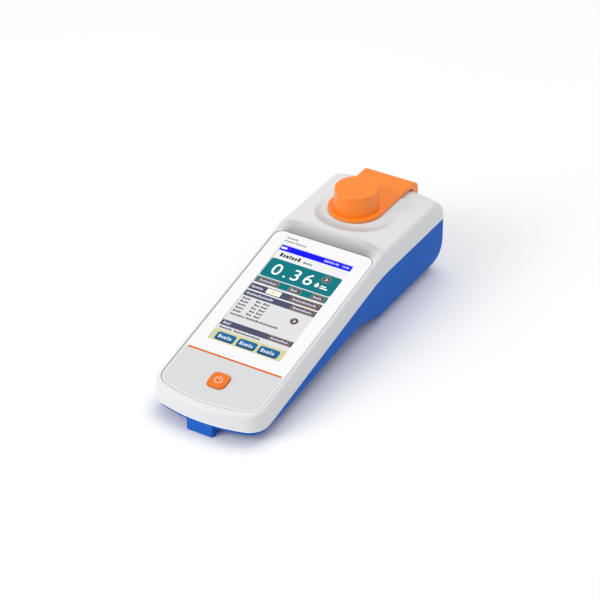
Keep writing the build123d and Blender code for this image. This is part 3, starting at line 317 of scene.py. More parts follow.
lit_fold = add_node(tree, "ShaderNodeMath", {0: 1.0, 1: fold_painted_shade}, operation="SUBTRACT").outputs[0]
lit_foot = add_node(tree, "ShaderNodeMath", {0: 1.0, 1: mound_foot_painted_shade}, operation="SUBTRACT").outputs[0]
lit = add_node(tree, "ShaderNodeMath", {0: lit_fold, 1: lit_foot},
               operation="MULTIPLY").outputs[0]
# The painted shade multiplies the grey's own colour.
shaded = add_node(tree, "ShaderNodeMix",
                  {"Factor": 1.0, "A": shader.inputs["Base Color"].links[0].from_socket,
                   "B": lit}, data_type="RGBA", blend_type="MULTIPLY")
tree.links.new(shaded.outputs["Result"], shader.inputs["Base Color"])
print("shaded hollows end", MOUND_FOOT, "mm from the lid's middle")

# %% [markdown]
# The seam between the shells is closed by a cord of silicone, and the lid's light seal, the feet
# and the front pad are black rubber. Rubber has a soft, open surface: hardly any gloss, and a
# fine mealy texture from the mould. Its real pores are near 0.1 mm, so they are drawn coarser.

# %% Silicone and rubber
def moulded_rubber(name, colour, dusty_colour, pore_mm):
    """Elastomer: dull, with dust in its pores."""
    material, tree, shader = new_material(name)
    place = add_node(tree, "ShaderNodeTexCoord").outputs["Object"]
    pores = add_node(tree, "ShaderNodeTexNoise",
                     {"Vector": place, "Scale": 1 / (pore_mm * mm), "Detail": 5.0})
    dust = add_node(tree, "ShaderNodeMix",
                    {"Factor": pores.outputs["Fac"], "A": srgb(colour),
                     "B": srgb(dusty_colour)}, data_type="RGBA")
    tree.links.new(dust.outputs["Result"], shader.inputs["Base Color"])
    bump = add_node(tree, "ShaderNodeBump",
                    {"Height": pores.outputs["Fac"], "Distance": 0.01 * mm})
    tree.links.new(bump.outputs["Normal"], shader.inputs["Normal"])
    shader.inputs["Roughness"].default_value = 0.75
    shader.inputs["IOR"].default_value = 1.41
    return material


pale_silicone = moulded_rubber("pale_moulded_silicone", "#EEF2F8", "#F5F8FB", 0.8)
black_rubber = moulded_rubber("black_moulded_rubber", "#202124", "#2B2C2F", 0.6)
dress(pale_silicone, "housing_gasket")
dress(black_rubber, "rubber_feet", "front_foot_pad", "lid_seal")
print("soft materials:", pale_silicone.name, black_rubber.name)

# %% [markdown]
# The deck carries a printed polyester film: white where the display's frame is, bare grey
# round the button, and an orange line between them. Print has crisp edges, so the colour is
# chosen by where a point lies on the deck. The place along the slope and across it comes from
# vector maths on the object's own coordinates.

# %% Printed polyester film
STRIPE_S = -11.73
STRIPE_HALF_LENGTH = 34.9
STRIPE_WIDTH = 1.5
LABEL_HALF_WIDTH = 36.4
LABEL_TOP_S = 106.6
PRINT_EDGE = 0.05


def band(tree, value, middle_mm, half_width_mm):
    """One inside a band of a coordinate, zero outside, with an edge as crisp as print."""
    centred = add_node(tree, "ShaderNodeMath", {0: value, 1: middle_mm * mm},
                       operation="SUBTRACT")
    distance = add_node(tree, "ShaderNodeMath", {0: centred.outputs[0]}, operation="ABSOLUTE")
    inside = add_node(tree, "ShaderNodeMapRange",
                      {"Value": distance.outputs[0],
                       "From Min": (half_width_mm - PRINT_EDGE) * mm,
                       "From Max": (half_width_mm + PRINT_EDGE) * mm,
                       "To Min": 1.0, "To Max": 0.0})
    return inside.outputs["Result"]


material, tree, shader = new_material("printed_polyester_film")
place = add_node(tree, "ShaderNodeTexCoord").outputs["Object"]
offset = add_node(tree, "ShaderNodeVectorMath", {0: place, 1: DECK_ORIGIN},
                  operation="SUBTRACT").outputs[0]
along = add_node(tree, "ShaderNodeVectorMath", {0: offset, 1: DECK_UP},
                 operation="DOT_PRODUCT").outputs["Value"]
across = add_node(tree, "ShaderNodeSeparateXYZ", {"Vector": offset}).outputs["X"]
label_rows = band(tree, along, (LABEL_TOP_S + STRIPE_S) / 2, (LABEL_TOP_S - STRIPE_S) / 2)
label_columns = band(tree, across, 0.0, LABEL_HALF_WIDTH)
stripe_rows = band(tree, along, STRIPE_S, STRIPE_WIDTH / 2)
stripe_columns = band(tree, across, 0.0, STRIPE_HALF_LENGTH)
label = add_node(tree, "ShaderNodeMath", {0: label_rows, 1: label_columns},
                 operation="MULTIPLY").outputs[0]
stripe = add_node(tree, "ShaderNodeMath", {0: stripe_rows, 1: stripe_columns},
                  operation="MULTIPLY").outputs[0]
fibres = add_node(tree, "ShaderNodeTexNoise",
                  {"Vector": place, "Scale": 1 / (0.5 * mm), "Detail": 2.0}).outputs["Fac"]
bare = add_node(tree, "ShaderNodeMix",
                {"Factor": fibres, "A": srgb("#CECFD0"), "B": srgb("#D1D2D3")},
                data_type="RGBA").outputs["Result"]
white = add_node(tree, "ShaderNodeMix", {"Factor": label, "A": bare, "B": srgb("#ECECED")},
                 data_type="RGBA").outputs["Result"]
printed = add_node(tree, "ShaderNodeMix", {"Factor": stripe, "A": white, "B": srgb("#D9640A")},
                   data_type="RGBA").outputs["Result"]
tree.links.new(printed, shader.inputs["Base Color"])
bump = add_node(tree, "ShaderNodeBump", {"Height": fibres, "Distance": 0.002 * mm})
tree.links.new(bump.outputs["Normal"], shader.inputs["Normal"])
shader.inputs["Roughness"].default_value = 0.38
shader.inputs["IOR"].default_value = 1.57
shader.inputs["Specular IOR Level"].default_value = 0.25
dress(material, "front_panel")
print("printed label:", 2 * LABEL_HALF_WIDTH, "by", round(LABEL_TOP_S - STRIPE_S, 1), "mm")

# %% [markdown]
# The display lies behind glass with a thin anti-glare etch. The etch is a fine frost, which
# keeps reflections weak. Where nothing is drawn, the bare glass shows the picture's white ground.

# %% Cover glass
material, tree, shader = new_material("etched_cover_glass")
place = add_node(tree, "ShaderNodeTexCoord").outputs["Object"]
etch = add_node(tree, "ShaderNodeTexNoise",
                {"Vector": place, "Scale": 1 / (0.3 * mm), "Detail": 2.0}).outputs["Fac"]
pale = add_node(tree, "ShaderNodeMix",
                {"Factor": etch, "A": srgb("#E4E5E8"), "B": srgb("#E8E9EB")}, data_type="RGBA")
tree.links.new(pale.outputs["Result"], shader.inputs["Base Color"])
bump = add_node(tree, "ShaderNodeBump", {"Height": etch, "Distance": 0.001 * mm})
tree.links.new(bump.outputs["Normal"], shader.inputs["Normal"])
shader.inputs["Roughness"].default_value = 0.2
shader.inputs["IOR"].default_value = 1.5
dress(material, "touch_screen")
print("glass:", material.name)

# %% [markdown]
# The picture is made by liquid crystal cells over a lamp. Its pieces are thin islands on the
# glass, so each colour is a material that gives off a little of itself. Real cells are 0.1 mm
# apart, too fine to show, so their faint variation is drawn at 0.6 mm.

# %% Display light
def display_light(name, colour, deeper_colour, glow=0.04):
    """A patch of the lit picture: its colour, faint cell to cell variation, and a glass gloss."""
    material, tree, shader = new_material("liquid_crystal_" + name)
    place = add_node(tree, "ShaderNodeTexCoord").outputs["Object"]
    cells = add_node(tree, "ShaderNodeTexNoise",
                     {"Vector": place, "Scale": 1 / (0.6 * mm), "Detail": 1.0})
    shade = add_node(tree, "ShaderNodeMix",
                     {"Factor": cells.outputs["Fac"], "A": srgb(colour),
                      "B": srgb(deeper_colour)}, data_type="RGBA")
    tree.links.new(shade.outputs["Result"], shader.inputs["Base Color"])
    tree.links.new(shade.outputs["Result"], shader.inputs["Emission Color"])
    shader.inputs["Emission Strength"].default_value = glow
    shader.inputs["Roughness"].default_value = 0.3
    shader.inputs["Specular IOR Level"].default_value = 0.1
    return material


status_blue = display_light("status_bar_blue", "#0505EE", "#0808E4")
reading_teal = display_light("reading_teal", "#00747C", "#006F78")
slate = display_light("slate_row", "#474B62", "#4B4F66")
pill_dark = display_light("pill_dark", "#4A4560", "#504A66")
pill_gold = display_light("pill_gold", "#C29A2E", "#B58F2B")
field_cream = display_light("field_cream", "#FFFBE6", "#FBF5DA")
list_grey = display_light("list_grey", "#D7D7D9", "#D4D4D6")
khaki = display_light("button_bar_khaki", "#CCCAA0", "#C8C69A")
key_blue = display_light("key_blue", "#146A9C", "#115F90")
key_blue_low = display_light("key_blue_low", "#0D4C76", "#0C466E")
lit_white = display_light("lit_white", "#FFFFFF", "#F6F8FA", glow=0.15)
ink = display_light("display_ink", "#26262A", "#303036", glow=0.02)
pale_ink = display_light("pale_ink", "#D5D5E4", "#CACADC")
status_red = display_light("status_red", "#D22A3C", "#C8283A")
print("colours of the picture:", sum("liquid_crystal" in m.name for m in bpy.data.materials))

# %% [markdown]
# Each island of the picture is a low slab with rounded corners, made in mesh code. Islands of
# one colour share one mesh, and those that lie on others sit a few hundredths of a millimetre
# higher, so no two faces share a plane.

# %% Slabs with rounded corners
GLASS = -0.6
LAYER = 0.04
UNDERSIDE_GAP = 0.01
CORNER_STEPS = 5


def rounded_ring(x0, s0, x1, s1, radius):
    """Points of a rectangle with rounded corners, going round once."""
    radius = min(radius, (x1 - x0) / 2, (s1 - s0) / 2)
    if radius <= 0:
        return [(x0, s0), (x1, s0), (x1, s1), (x0, s1)]
    ring = []
    corners = ((x1 - radius, s0 + radius, -90), (x1 - radius, s1 - radius, 0),
               (x0 + radius, s1 - radius, 90), (x0 + radius, s0 + radius, 180))
    for cx, cs, start in corners:
        for step in range(CORNER_STEPS + 1):
            angle = math.radians(start + 90 * step / CORNER_STEPS)
            point = (cx + radius * math.cos(angle), cs + radius * math.sin(angle))
            if not ring or math.dist(point, ring[-1]) > 1e-6:
                ring.append(point)
    return ring if math.dist(ring[0], ring[-1]) > 1e-6 else ring[:-1]


def slab(work, ring, low, high):
    """Adds a closed slab over a ring of points on the deck to a mesh under work."""
    bottom = [work.verts.new(on_deck(x, s, low)) for x, s in ring]
    top = [work.verts.new(on_deck(x, s, high)) for x, s in ring]
    work.faces.new(list(reversed(bottom)))
    work.faces.new(top)
    count = len(ring)
    for i in range(count):
        j = (i + 1) % count
        work.faces.new((bottom[i], bottom[j], top[j], top[i]))


def finish_piece(name, work, material, body="instrument"):
    """Turns the mesh under work into a piece that rides on a body."""
    bmesh.ops.recalc_face_normals(work, faces=work.faces)
    mesh = bpy.data.meshes.new(name)
    work.to_mesh(mesh)
    work.free()
    mesh.materials.append(material)
    piece = bpy.data.objects.new(name, mesh)
    bpy.context.scene.collection.objects.link(piece)
    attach(piece, body)
    return piece


def shapes(name, material, layer, rings, ground=GLASS):
    """Slabs over free outlines, at a layer above the glass, or above another ground."""
    work = bmesh.new()
    for ring in rings:
        slab(work, ring, ground + LAYER * (layer - 1) + UNDERSIDE_GAP, ground + LAYER * layer)
    return finish_piece(name, work, material)


def islands(name, material, layer, boxes):
    """Slabs of one colour on the glass: boxes are (left, low, right, high, corner radius)."""
    return shapes(name, material, layer, [rounded_ring(*box) for box in boxes])


print("one layer of the picture:", LAYER, "mm")

# %% [markdown]
# From top to bottom the picture holds a status bar, a heading, the large reading, a row of small
# keys, two slate rows, a list, another slate row, one record, and three keys on a khaki bar. A
# pill is a dark key with a golden rim.

# %% Blocks of the picture
LEFT = -27.0
RIGHT = 26.4
PILL_RIM = 0.35

islands("status_bar", status_blue, 1, [(LEFT, 90.2, 27.0, 95.3, 0)])
islands("reading_blocks", reading_teal, 1,
        [(LEFT, 64.1, 26.7, 82.1, 1.8), (LEFT, 57.4, 26.7, 63.3, 0.8)])
islands("slate_rows", slate, 1,
        [(LEFT, 50.0, RIGHT, 55.8, 0.5), (LEFT, 43.5, RIGHT, 48.8, 0.3),
         (LEFT, 13.9, RIGHT, 18.8, 0.3)])
islands("record_list", list_grey, 1,
        [(LEFT, 19.0, RIGHT, 43.3, 0), (LEFT, 10.2, RIGHT, 13.7, 0)])
islands("key_bar", khaki, 1, [(LEFT, -0.3, RIGHT, 9.9, 0)])
pills = [(-25.3, 57.9, -9.6, 62.5), (-1.9, 57.9, 7.0, 62.5), (15.2, 57.9, 24.9, 62.5),
         (3.8, 50.6, 24.9, 55.2), (7.9, 43.9, 24.9, 48.5), (8.8, 14.1, 24.5, 18.6)]
pill_faces = [(x0 + PILL_RIM, s0 + PILL_RIM, x1 - PILL_RIM, s1 - PILL_RIM, 0.8)
              for x0, s0, x1, s1 in pills]
islands("pill_rims", pill_gold, 2, [(*pill, 1.0) for pill in pills])
islands("pill_faces", pill_dark, 3, pill_faces)
islands("entry_field", field_cream, 2, [(-14.4, 50.7, -3.6, 55.1, 0.8)])
keys = [(-23.7, -9.6), (-7.6, 6.3), (8.3, 23.1)]
islands("keys_low", key_blue_low, 2, [(x0, 0.9, x1, 8.0, 1.6) for x0, x1 in keys])
islands("keys_high", key_blue, 3, [(x0 + 0.5, 2.4, x1 - 0.5, 7.7, 1.3) for x0, x1 in keys])
print("pills and keys:", len(pills), "and", len(keys))

# %% [markdown]
# Words are set as plain blocks, one for each letter, so the picture reads as text from a step
# away and says nothing close up. A fixed rhythm of widths and heights keeps it the same each run.

# %% Block lettering
RHYTHM = (0.52, 0.42, 0.58, 0.30, 0.50, 0.46)
LOW_LETTER = 0.72
LETTER_GAP = 0.22
LETTER_CORNER = 0.04


def block_word(x, s, height, length):
    """Boxes for the letters of one word, every third of them tall."""
    boxes = []
    reach = x
    while True:
        i = len(boxes)
        width = RHYTHM[i % len(RHYTHM)] * height
        if reach + width > x + length:
            return boxes
        top = s + height * (1.0 if i % 3 == 0 else LOW_LETTER)
        boxes.append((reach, s, reach + width, top, LETTER_CORNER))
        reach += width + LETTER_GAP * height


heading = block_word(-23.6, 84.9, 3.3, 17.0) + block_word(-5.4, 84.9, 1.7, 7.4)
islands("heading", ink, 1, heading)

list_lines = []
for row in range(5):
    line_s = 40.4 - row * 3.13
    list_lines += block_word(-25.5, line_s, 1.75, 6.6)
    list_lines += block_word(-15.4 + 0.4 * (row % 2), line_s, 1.75, 4.2)
    list_lines += block_word(-9.8, line_s, 1.75, 5.3)
list_lines += block_word(-25.5, 24.6, 1.6, 10.6) + block_word(-13.6, 24.6, 1.75, 23.6)
list_lines += block_word(-25.5, 11.2, 1.7, 9.6) + block_word(-14.8, 11.2, 1.7, 20.0)
islands("list_lines", ink, 2, list_lines)

row_words = block_word(-25.4, 51.9, 2.1, 9.0) + block_word(-25.4, 45.2, 2.1, 21.0)
row_words += block_word(-25.4, 15.4, 2.1, 5.8)
islands("row_words", pale_ink, 2, row_words)

pill_words = []
for x0, s0, x1, s1 in pills:
    pill_words += block_word(x0 + 1.6, s0 + 1.3, 1.9, x1 - x0 - 3.0)
for x0, x1 in keys:
    pill_words += block_word(x0 + 1.9, 3.0, 3.0, x1 - x0 - 3.6)
islands("pill_words", pale_ink, 4, pill_words)

gauge_cells = ((-26.3, -24.9), (-24.7, -23.3), (-23.1, -22.2))
islands("battery_gauge", lit_white, 2, [(x0, 91.9, x1, 93.6, 0.2) for x0, x1 in gauge_cells])
islands("record_light", status_red, 2, [(-20.8, 92.4, -19.9, 93.3, 0.45)])
print("letters in the list:", len(list_lines))

# %% [markdown]
# Numbers are generic, so they may be real figures. Blender's own font gives their outlines; we
# turn them into meshes, thicken them a little, and lay them on the deck like the blocks. We take
# the font's figures to be 0.72 of its size tall. They measure a little less, so the reading
# comes out 10.0 mm tall where 10.3 is asked for.

# %% Figures
FIGURE_SHARE = 0.72
FIGURE_HALF_THICKNESS = 0.01


def figures(name, text, x, s, height, material, layer, stretch=1.0, spacing=1.0):
    """Sets figures on the glass with their lower left corner at x, s."""
    curve = bpy.data.curves.new(name, "FONT")
    curve.body = text
    curve.size = height / FIGURE_SHARE
    curve.extrude = FIGURE_HALF_THICKNESS
    curve.space_character = spacing
    flat = bpy.data.objects.new(name + "_outline", curve)
    bpy.context.scene.collection.objects.link(flat)
    bpy.context.view_layer.update()
    mesh = bpy.data.meshes.new_from_object(flat)
    bpy.data.objects.remove(flat)
    low = min(v.co.x for v in mesh.vertices)
    floor = min(v.co.y for v in mesh.vertices)
    for v in mesh.vertices:
        v.co = on_deck(x + (v.co.x - low) * stretch, s + v.co.y - floor,
                       GLASS + LAYER * layer + v.co.z)
    mesh.name = name
    mesh.materials.clear()
    mesh.materials.append(material)
    piece = bpy.data.objects.new(name, mesh)
    bpy.context.scene.collection.objects.link(piece)
    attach(piece, "instrument")
    return piece


reading = figures("reading", "0.36", -21.4, 67.9, 10.3, lit_white, 2, stretch=1.05, spacing=1.25)
figures("clock", "2020/01/01  12:00", 6.2, 92.0, 1.7, lit_white, 2, stretch=1.1)
figures("sample_number", "07", -10.4, 51.9, 2.0, ink, 3)
heights = [(v.co - DECK_ORIGIN).dot(DECK_UP) / mm for v in reading.data.vertices]
print("height of the reading in mm:", round(max(heights) - min(heights), 2))

# %% [markdown]
# A drop of water stands where the unit would be, and two round keys carry an arrow head each.
# The drop is a circle whose upper half is pulled to a point.

# %% Drop and round keys
DROP_NARROWING = 0.35
DROP_STRETCH = 0.75


def circle_ring(cx, cs, radius, count=40):
    """Points of a circle on the deck."""
    angles = [2 * math.pi * i / count for i in range(count)]
    return [(cx + radius * math.cos(a), cs + radius * math.sin(a)) for a in angles]


def drop_ring(cx, cs, radius, count=36):
    """Outline of a drop: a circle drawn out to a point at the top."""
    ring = []
    for i in range(count):
        angle = 2 * math.pi * i / count + math.pi / 2
        pull = max(0.0, math.sin(angle)) ** 4
        ring.append((cx + radius * math.cos(angle) * (1 - DROP_NARROWING * pull),
                     cs + radius * (math.sin(angle) + DROP_STRETCH * pull)))
    return ring


round_keys = [(16.8, 77.3), (16.7, 35.4)]
arrow = [(-0.9, -1.3), (-0.4, -1.3), (1.2, 0.0), (-0.4, 1.3), (-0.9, 1.3), (0.3, 0.0)]
arrows = [[(x + u, s + v) for u, v in arrow] for x, s in round_keys]
shapes("round_key_rims", pill_gold, 2, [circle_ring(x, s, 3.0) for x, s in round_keys])
shapes("round_key_faces", pill_dark, 3, [circle_ring(x, s, 2.6) for x, s in round_keys])
shapes("round_key_arrows", lit_white, 4, arrows)
shapes("unit_drop", lit_white, 2, [drop_ring(13.4, 70.2, 1.5)])
islands("unit_bars", lit_white, 2, [(16.2, 68.6, 22.0, 69.6, 0.3), (16.2, 70.4, 20.2, 71.4, 0.3)])
print("round keys:", len(round_keys))

# %% [markdown]
# Two small lines stand over the display, on the film itself. They are plain blocks too, pad
# printed: a soft pad presses a thick, matt ink on the surface, which dries with a faint speckle.

# %% Lines on the film
def pad_print_and_painted_light(name, colour, worn_colour):
    """Opaque ink with a faint speckle, also used for a painted highlight and a painted shadow."""
    material, tree, shader = new_material(name)
    place = add_node(tree, "ShaderNodeTexCoord").outputs["Object"]
    speckle = add_node(tree, "ShaderNodeTexNoise",
                       {"Vector": place, "Scale": 1 / (0.25 * mm), "Detail": 3.0})
    tone = add_node(tree, "ShaderNodeMix",
                    {"Factor": speckle.outputs["Fac"], "A": srgb(colour),
                     "B": srgb(worn_colour)}, data_type="RGBA")
    tree.links.new(tone.outputs["Result"], shader.inputs["Base Color"])
    shader.inputs["Roughness"].default_value = 0.45
    return material


film_lines = block_word(-27.2, 101.4, 1.6, 9.4)
film_lines += block_word(-27.2, 98.2, 1.6, 7.4) + block_word(-18.6, 98.2, 1.6, 8.4)
grey_print = pad_print_and_painted_light("grey_pad_print", "#6C6E74", "#74767B")
shapes("film_lines", grey_print, 1, [rounded_ring(*box) for box in film_lines],
       ground=0.0)
print("letters on the film:", len(film_lines))

# %% [markdown]
# The film is cut with a small bevel. Its edge gets a painted highlight, a white line, for the
# light it catches, and the gap outside it gets a painted shadow, a thin grey one. We read the
# film's own outline from the imported model: it is the longest chain of edges that bound the upper
# face.

# %% Outline of the film
def packed_mesh(name):
    """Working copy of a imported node's mesh, in place and with its seams closed."""
    work = bmesh.new()
    work.from_mesh(nodes[name].data)
    work.transform(nodes[name].matrix_world)
    bmesh.ops.remove_doubles(work, verts=work.verts, dist=0.001 * mm)
    work.normal_update()
    return work


def chained(edges):
    """Longest closed chain of vertices that the edges form."""
    links = {}
    for edge in edges:
        one, two = edge.verts
        links.setdefault(one, []).append(two)
        links.setdefault(two, []).append(one)
    chains = []
    while links:
        chain = [next(iter(links))]
        while True:
            onward = [v for v in links.pop(chain[-1]) if v in links]
            if not onward:
                break
            chain.append(onward[0])
        chains.append(chain)
    return max(chains, key=lambda c: max(v.co.y for v in c) - min(v.co.y for v in c))


def film_outline():
    """Outline of the film's upper face in deck coordinates, counterclockwise."""
    work = packed_mesh("front_panel")
    top = {f for f in work.faces if f.normal.dot(DECK_NORMAL) > 0.99}
    chain = chained([e for e in work.edges if sum(f in top for f in e.link_faces) == 1])
    offsets = [v.co - DECK_ORIGIN for v in chain]
    ring = [(offset.x / mm, offset.dot(DECK_UP) / mm) for offset in offsets]
    work.free()
    area = sum(x0 * s1 - x1 * s0 for (x0, s0), (x1, s1) in zip(ring, ring[1:] + ring[:1]))
    return ring if area > 0 else ring[::-1]


outline = film_outline()
print("points round the film:", len(outline))

# %% [markdown]
# Now we draw the outline in by a fraction of a millimetre, twice, and lay a low band between
# the two. A mitred corner moves further in than a straight edge does, so that the band keeps
# its width.

# %% Edge of the film
BAND_LOW = 0.005
BAND_HIGH = 0.02
GAP_LINE = (0.03, 0.6)
EDGE_LINE = (0.62, 1.25)


def drawn_in(ring, distance):
    """The same outline, moved inwards with mitred corners."""
    result = []
    for i, point in enumerate(ring):
        before = (Vector(point) - Vector(ring[i - 1])).normalized()
        after = (Vector(ring[(i + 1) % len(ring)]) - Vector(point)).normalized()
        inward = Vector((-(before + after).y, (before + after).x)).normalized()
        mitre = inward.dot(Vector((-after.y, after.x)))
        result.append(Vector(point) + inward * distance / mitre)
    return result


def band_rows(work, outside, inside, low, high):
    """Four corners of a band at each point: outer low, outer high, inner high, inner low."""
    return [[work.verts.new(on_deck(x, s, height)) for (x, s), height in
             ((out, low), (out, high), (into, high), (into, low))]
            for out, into in zip(outside, inside)]


def join_rows(work, rows):
    """Adds four-sided faces between each row of corners and the next."""
    for one, two in zip(rows, rows[1:]):
        for k in range(4):
            work.faces.new((one[k], one[(k + 1) % 4], two[(k + 1) % 4], two[k]))


def film_band(name, material, near, far):
    """Closed band between two distances from the film's edge."""
    work = bmesh.new()
    rows = band_rows(work, drawn_in(outline, near), drawn_in(outline, far), BAND_LOW, BAND_HIGH)
    join_rows(work, rows + rows[:1])
    return finish_piece(name, work, material)


# Painted shadow in the gap outside the film, and a painted highlight on its bevelled edge.
gap_painted_shadow = pad_print_and_painted_light("painted_gap_shadow", "#A0A2A4", "#A6A8AA")
edge_painted_highlight = pad_print_and_painted_light("painted_edge_highlight", "#F4F4F5", "#F0F0F1")
film_band("film_gap_painted_shadow", gap_painted_shadow, *GAP_LINE)
film_band("film_edge_painted_highlight", edge_painted_highlight, *EDGE_LINE)
print("widths of the lines in mm:", [round(far - near, 2) for near, far in (GAP_LINE, EDGE_LINE)])

# %% [markdown]
# The silicone cord in the seam bulges outwards when the shells are screwed together, and shows
# as a pale line. It is the cord's own outer wall, thickened until it almost meets the surface.
# Each corner of the wall moves along the mean direction of the faces round it.

# %% Lip of the seam cord
LIP_IN = 0.01
LIP_OUT = 0.3


def seam_lip():
    """Solid band over the outer wall of the cord."""
    source = packed_mesh("housing_gasket")
    wall = [f for f in source.faces
            if abs(f.normal.z) < 0.3 and f.normal.dot(f.calc_center_median()) > 0]
    in_wall = set(wall)
    out = {}
    for face in wall:
        level = Vector((face.normal.x, face.normal.y, 0)).normalized()
        for v in face.verts:
            out[v] = out.get(v, Vector()) + level * face.calc_area()
    work = bmesh.new()
    near = {v: work.verts.new(v.co + n.normalized() * LIP_IN * mm) for v, n in out.items()}
    far = {v: work.verts.new(v.co + n.normalized() * LIP_OUT * mm) for v, n in out.items()}
    for face in wall:
        work.faces.new([far[v] for v in face.verts])
        work.faces.new([near[v] for v in reversed(face.verts)])
        for edge in face.edges:
            if sum(f in in_wall for f in edge.link_faces) == 1:
                one, two = edge.verts
                work.faces.new((near[one], near[two], far[two], far[one]))
    source.free()
    return finish_piece("seam_lip", work, pale_silicone)


lip = seam_lip()
print("faces of the seam's lip:", len(lip.data.polygons))

# %% [markdown]
# The power symbol on the button is a broken ring with a bar in the gap, pad printed in white. It
# rides on the button, so it goes down with it. The ring is made of four-sided faces, because one
# large face that bends round like a C may be filled across its middle.

# %% Power symbol
BUTTON_S = -30.85
SYMBOL_LOW = 1.15
SYMBOL_HIGH = 1.22
RING_INNER = 2.4
RING_OUTER = 2.75
RING_START = 118
RING_END = 422
BAR_HALF_WIDTH = 0.18
BAR_FOOT = BUTTON_S + 0.3
BAR_TOP = BUTTON_S + 3.6


def arc(radius, count=40):
    """Points of the broken ring's edge at a radius, round the button's middle."""
    angles = [math.radians(RING_START + (RING_END - RING_START) * i / count)
              for i in range(count + 1)]
    return [(radius * math.cos(a), BUTTON_S + radius * math.sin(a)) for a in angles]


white_print = pad_print_and_painted_light("white_pad_print", "#FFFFFF", "#F0EFEC")
work = bmesh.new()
rows = band_rows(work, arc(RING_OUTER), arc(RING_INNER), SYMBOL_LOW, SYMBOL_HIGH)
join_rows(work, rows)
work.faces.new(rows[0])
work.faces.new(list(reversed(rows[-1])))
bar = rounded_ring(-BAR_HALF_WIDTH, BAR_FOOT, BAR_HALF_WIDTH, BAR_TOP, BAR_HALF_WIDTH)
slab(work, bar, SYMBOL_LOW, SYMBOL_HIGH)
finish_piece("power_symbol", work, white_print, body="button")
print("power symbol:", 2 * RING_OUTER, "mm across")

# %% [markdown]
# None of the pieces inside the case shows in the portrait, but the model may be taken apart, so
# each has its own finish. The sample chamber is black ABS with a deep, dull grain that swallows
# stray light. Switches, chips and the buzzer are moulded from black epoxy, which is smoother. Both
# take the recipe for ABS.

# %% Black optics and components
optics_abs = moulded_abs("black_moulded_optics_abs", "#17181A", "#1D1E20",
                         grain_height_mm=0.006, roughness=0.6)
epoxy = moulded_abs("black_moulded_epoxy", "#1B1B1D", "#242427", grain_mm=0.2, roughness=0.5)
dress(optics_abs, "sample_chamber", "well_collar", "lens_retainers")
dress(epoxy, "board_chips", "buzzer", "power_switch")
print("black finishes:", optics_abs.name, epoxy.name)

# %% [markdown]
# Metal shows how it was worked by fine lines: along it where it was rolled or drawn, round the
# axis where it was ground. A pressed can has no lines, only a fine mottle. One noise, stretched
# along the lines, gives both their tone and their relief. Real lines are near 0.05 mm, so they
# too are drawn coarser than they are.

# %% Worked metal
def worked_metal(name, colour, dark_colour, line_mm, stretch, roughness):
    """Bright metal with fine lines left by rolling, drawing or grinding."""
    material, tree, shader = new_material(name)
    place = add_node(tree, "ShaderNodeTexCoord").outputs["Object"]
    drawn = add_node(tree, "ShaderNodeMapping", {"Vector": place, "Scale": stretch})
    lines = add_node(tree, "ShaderNodeTexNoise",
                     {"Vector": drawn.outputs["Vector"], "Scale": 1 / (line_mm * mm),
                      "Detail": 4.0})
    tone = add_node(tree, "ShaderNodeMix",
                    {"Factor": lines.outputs["Fac"], "A": srgb(colour), "B": srgb(dark_colour)},
                    data_type="RGBA")
    tree.links.new(tone.outputs["Result"], shader.inputs["Base Color"])
    bump = add_node(tree, "ShaderNodeBump",
                    {"Height": lines.outputs["Fac"], "Distance": 0.003 * mm})
    tree.links.new(bump.outputs["Normal"], shader.inputs["Normal"])
    shader.inputs["Metallic"].default_value = 1.0
    shader.inputs["Roughness"].default_value = roughness
    return material


screw_steel = worked_metal("zinc_plated_screw_steel", "#C9CACC", "#A9ABAE", 0.4, (1, 1, 0.2), 0.3)
pin_steel = worked_metal("ground_steel_pin", "#D4D5D6", "#BABCBE", 0.2, (8, 1, 1), 0.22)
sheet_steel = worked_metal("rolled_steel_sheet", "#B9BBBD", "#A2A4A7", 0.3, (0.1, 1, 1), 0.38)
can_metal = worked_metal("drawn_aluminium_can", "#D2D3D5", "#BFC1C3", 0.3, (1, 1, 1), 0.3)
spring_metal = worked_metal("nickel_plated_spring_strip", "#D8D6CE", "#C2BFB4", 0.3,
                            (1, 1, 0.2), 0.25)
dress(screw_steel, "display_screws", "board_screws", "chamber_screws", "optic_screws",
      "cover_screw", "housing_screws", "socket_screws")
dress(pin_steel, "hinge_pin")
dress(sheet_steel, "display_module", "display_bracket", "data_socket")
dress(can_metal, "scatter_detector", "transmitted_detector")
dress(spring_metal, "battery_contacts")
metals = (screw_steel, pin_steel, sheet_steel, can_metal, spring_metal)
print("metals:", [metal.name for metal in metals])

# %% [markdown]
# The lenses are polished crown glass, and the lamp's bulb is blown from a warmer glass. Clean
# glass looks like nothing at all, so a trace of dust, in spots of 1.5 mm, dulls it here and there.

# %% Glass
def optical_glass(name, colour, dusty_colour):
    """Clear polished glass with a trace of dust on its faces."""
    material, tree, shader = new_material(name)
    place = add_node(tree, "ShaderNodeTexCoord").outputs["Object"]
    dust = add_node(tree, "ShaderNodeTexNoise",
                    {"Vector": place, "Scale": 1 / (1.5 * mm), "Detail": 5.0}).outputs["Fac"]
    tone = add_node(tree, "ShaderNodeMix",
                    {"Factor": dust, "A": srgb(colour), "B": srgb(dusty_colour)},
                    data_type="RGBA")
    tree.links.new(tone.outputs["Result"], shader.inputs["Base Color"])
    haze = add_node(tree, "ShaderNodeMapRange", {"Value": dust, "To Min": 0.01, "To Max": 0.06})
    tree.links.new(haze.outputs["Result"], shader.inputs["Roughness"])
    shader.inputs["Transmission Weight"].default_value = 1.0
    shader.inputs["IOR"].default_value = 1.52
    return material


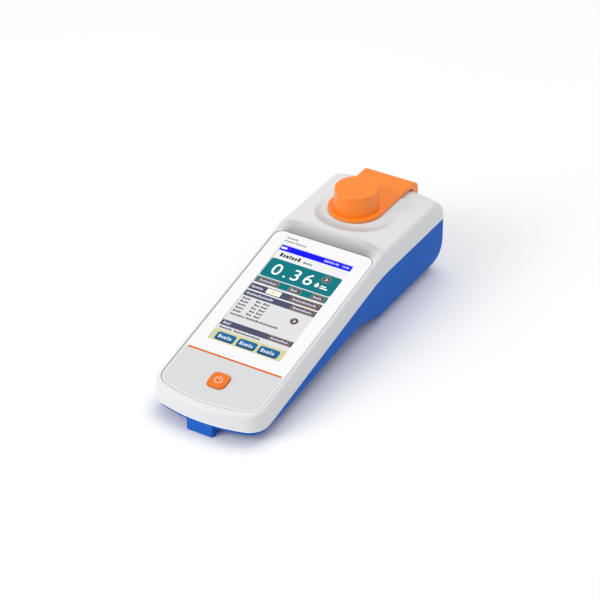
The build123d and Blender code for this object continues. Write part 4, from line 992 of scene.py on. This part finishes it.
crown_glass = optical_glass("polished_crown_glass", "#F4FAFA", "#E6EFF0")
lamp_glass = optical_glass("blown_lamp_glass", "#FFF6DE", "#F4E8C8")
dress(crown_glass, "source_lens", "scatter_lens", "transmitted_lens")
dress(lamp_glass, "source_lamp")
print("glasses:", crown_glass.name, lamp_glass.name)

# %% [markdown]
# A circuit board is woven laminate under a green coat, and a flat cable is copper under amber
# polyimide. In both, copper lifts the coat a little and shows as lighter lines. A brick texture
# draws them as its mortar. Its bricks are half a unit long and a quarter high. With a unit of
# 2.54 mm, the usual spacing of pins, the lines are 1.27 and 0.64 mm apart on the boards, and with
# one of 1 mm they are closer on the cables. The four cells are wrapped in plain film, shrunk
# tight by heat. It takes the recipe for ABS, with almost no grain.

# %% Circuit boards, flat cables and cells
def laminate(name, colour, trace_colour, unit_mm, roughness):
    """Coated laminate: copper under a coloured coat shows as lighter lines on a grid."""
    material, tree, shader = new_material(name)
    place = add_node(tree, "ShaderNodeTexCoord").outputs["Object"]
    traces = add_node(tree, "ShaderNodeTexBrick",
                      {"Vector": place, "Scale": 1 / (unit_mm * mm), "Mortar Size": 0.06,
                       "Color1": srgb(colour), "Color2": srgb(colour),
                       "Mortar": srgb(trace_colour)})
    tree.links.new(traces.outputs["Color"], shader.inputs["Base Color"])
    bump = add_node(tree, "ShaderNodeBump",
                    {"Height": traces.outputs["Fac"], "Distance": 0.02 * mm})
    tree.links.new(bump.outputs["Normal"], shader.inputs["Normal"])
    shader.inputs["Roughness"].default_value = roughness
    return material


green_board = laminate("green_coated_laminate", "#14502F", "#2C7A4C", 2.54, 0.35)
amber_film = laminate("amber_etched_polyimide", "#A85F16", "#C8812E", 1.0, 0.3)
cell_wrap = moulded_abs("shrunk_cell_wrap", "#3A4148", "#454D55", grain_height_mm=0.001,
                        roughness=0.3)
dress(green_board, "main_board", "source_board", "scatter_board", "transmitted_board",
      "socket_board")
dress(amber_film, "display_flex", "optics_flex", "sensor_flex")
dress(cell_wrap, "battery_cells")
print("materials in all:", len(bpy.data.materials))
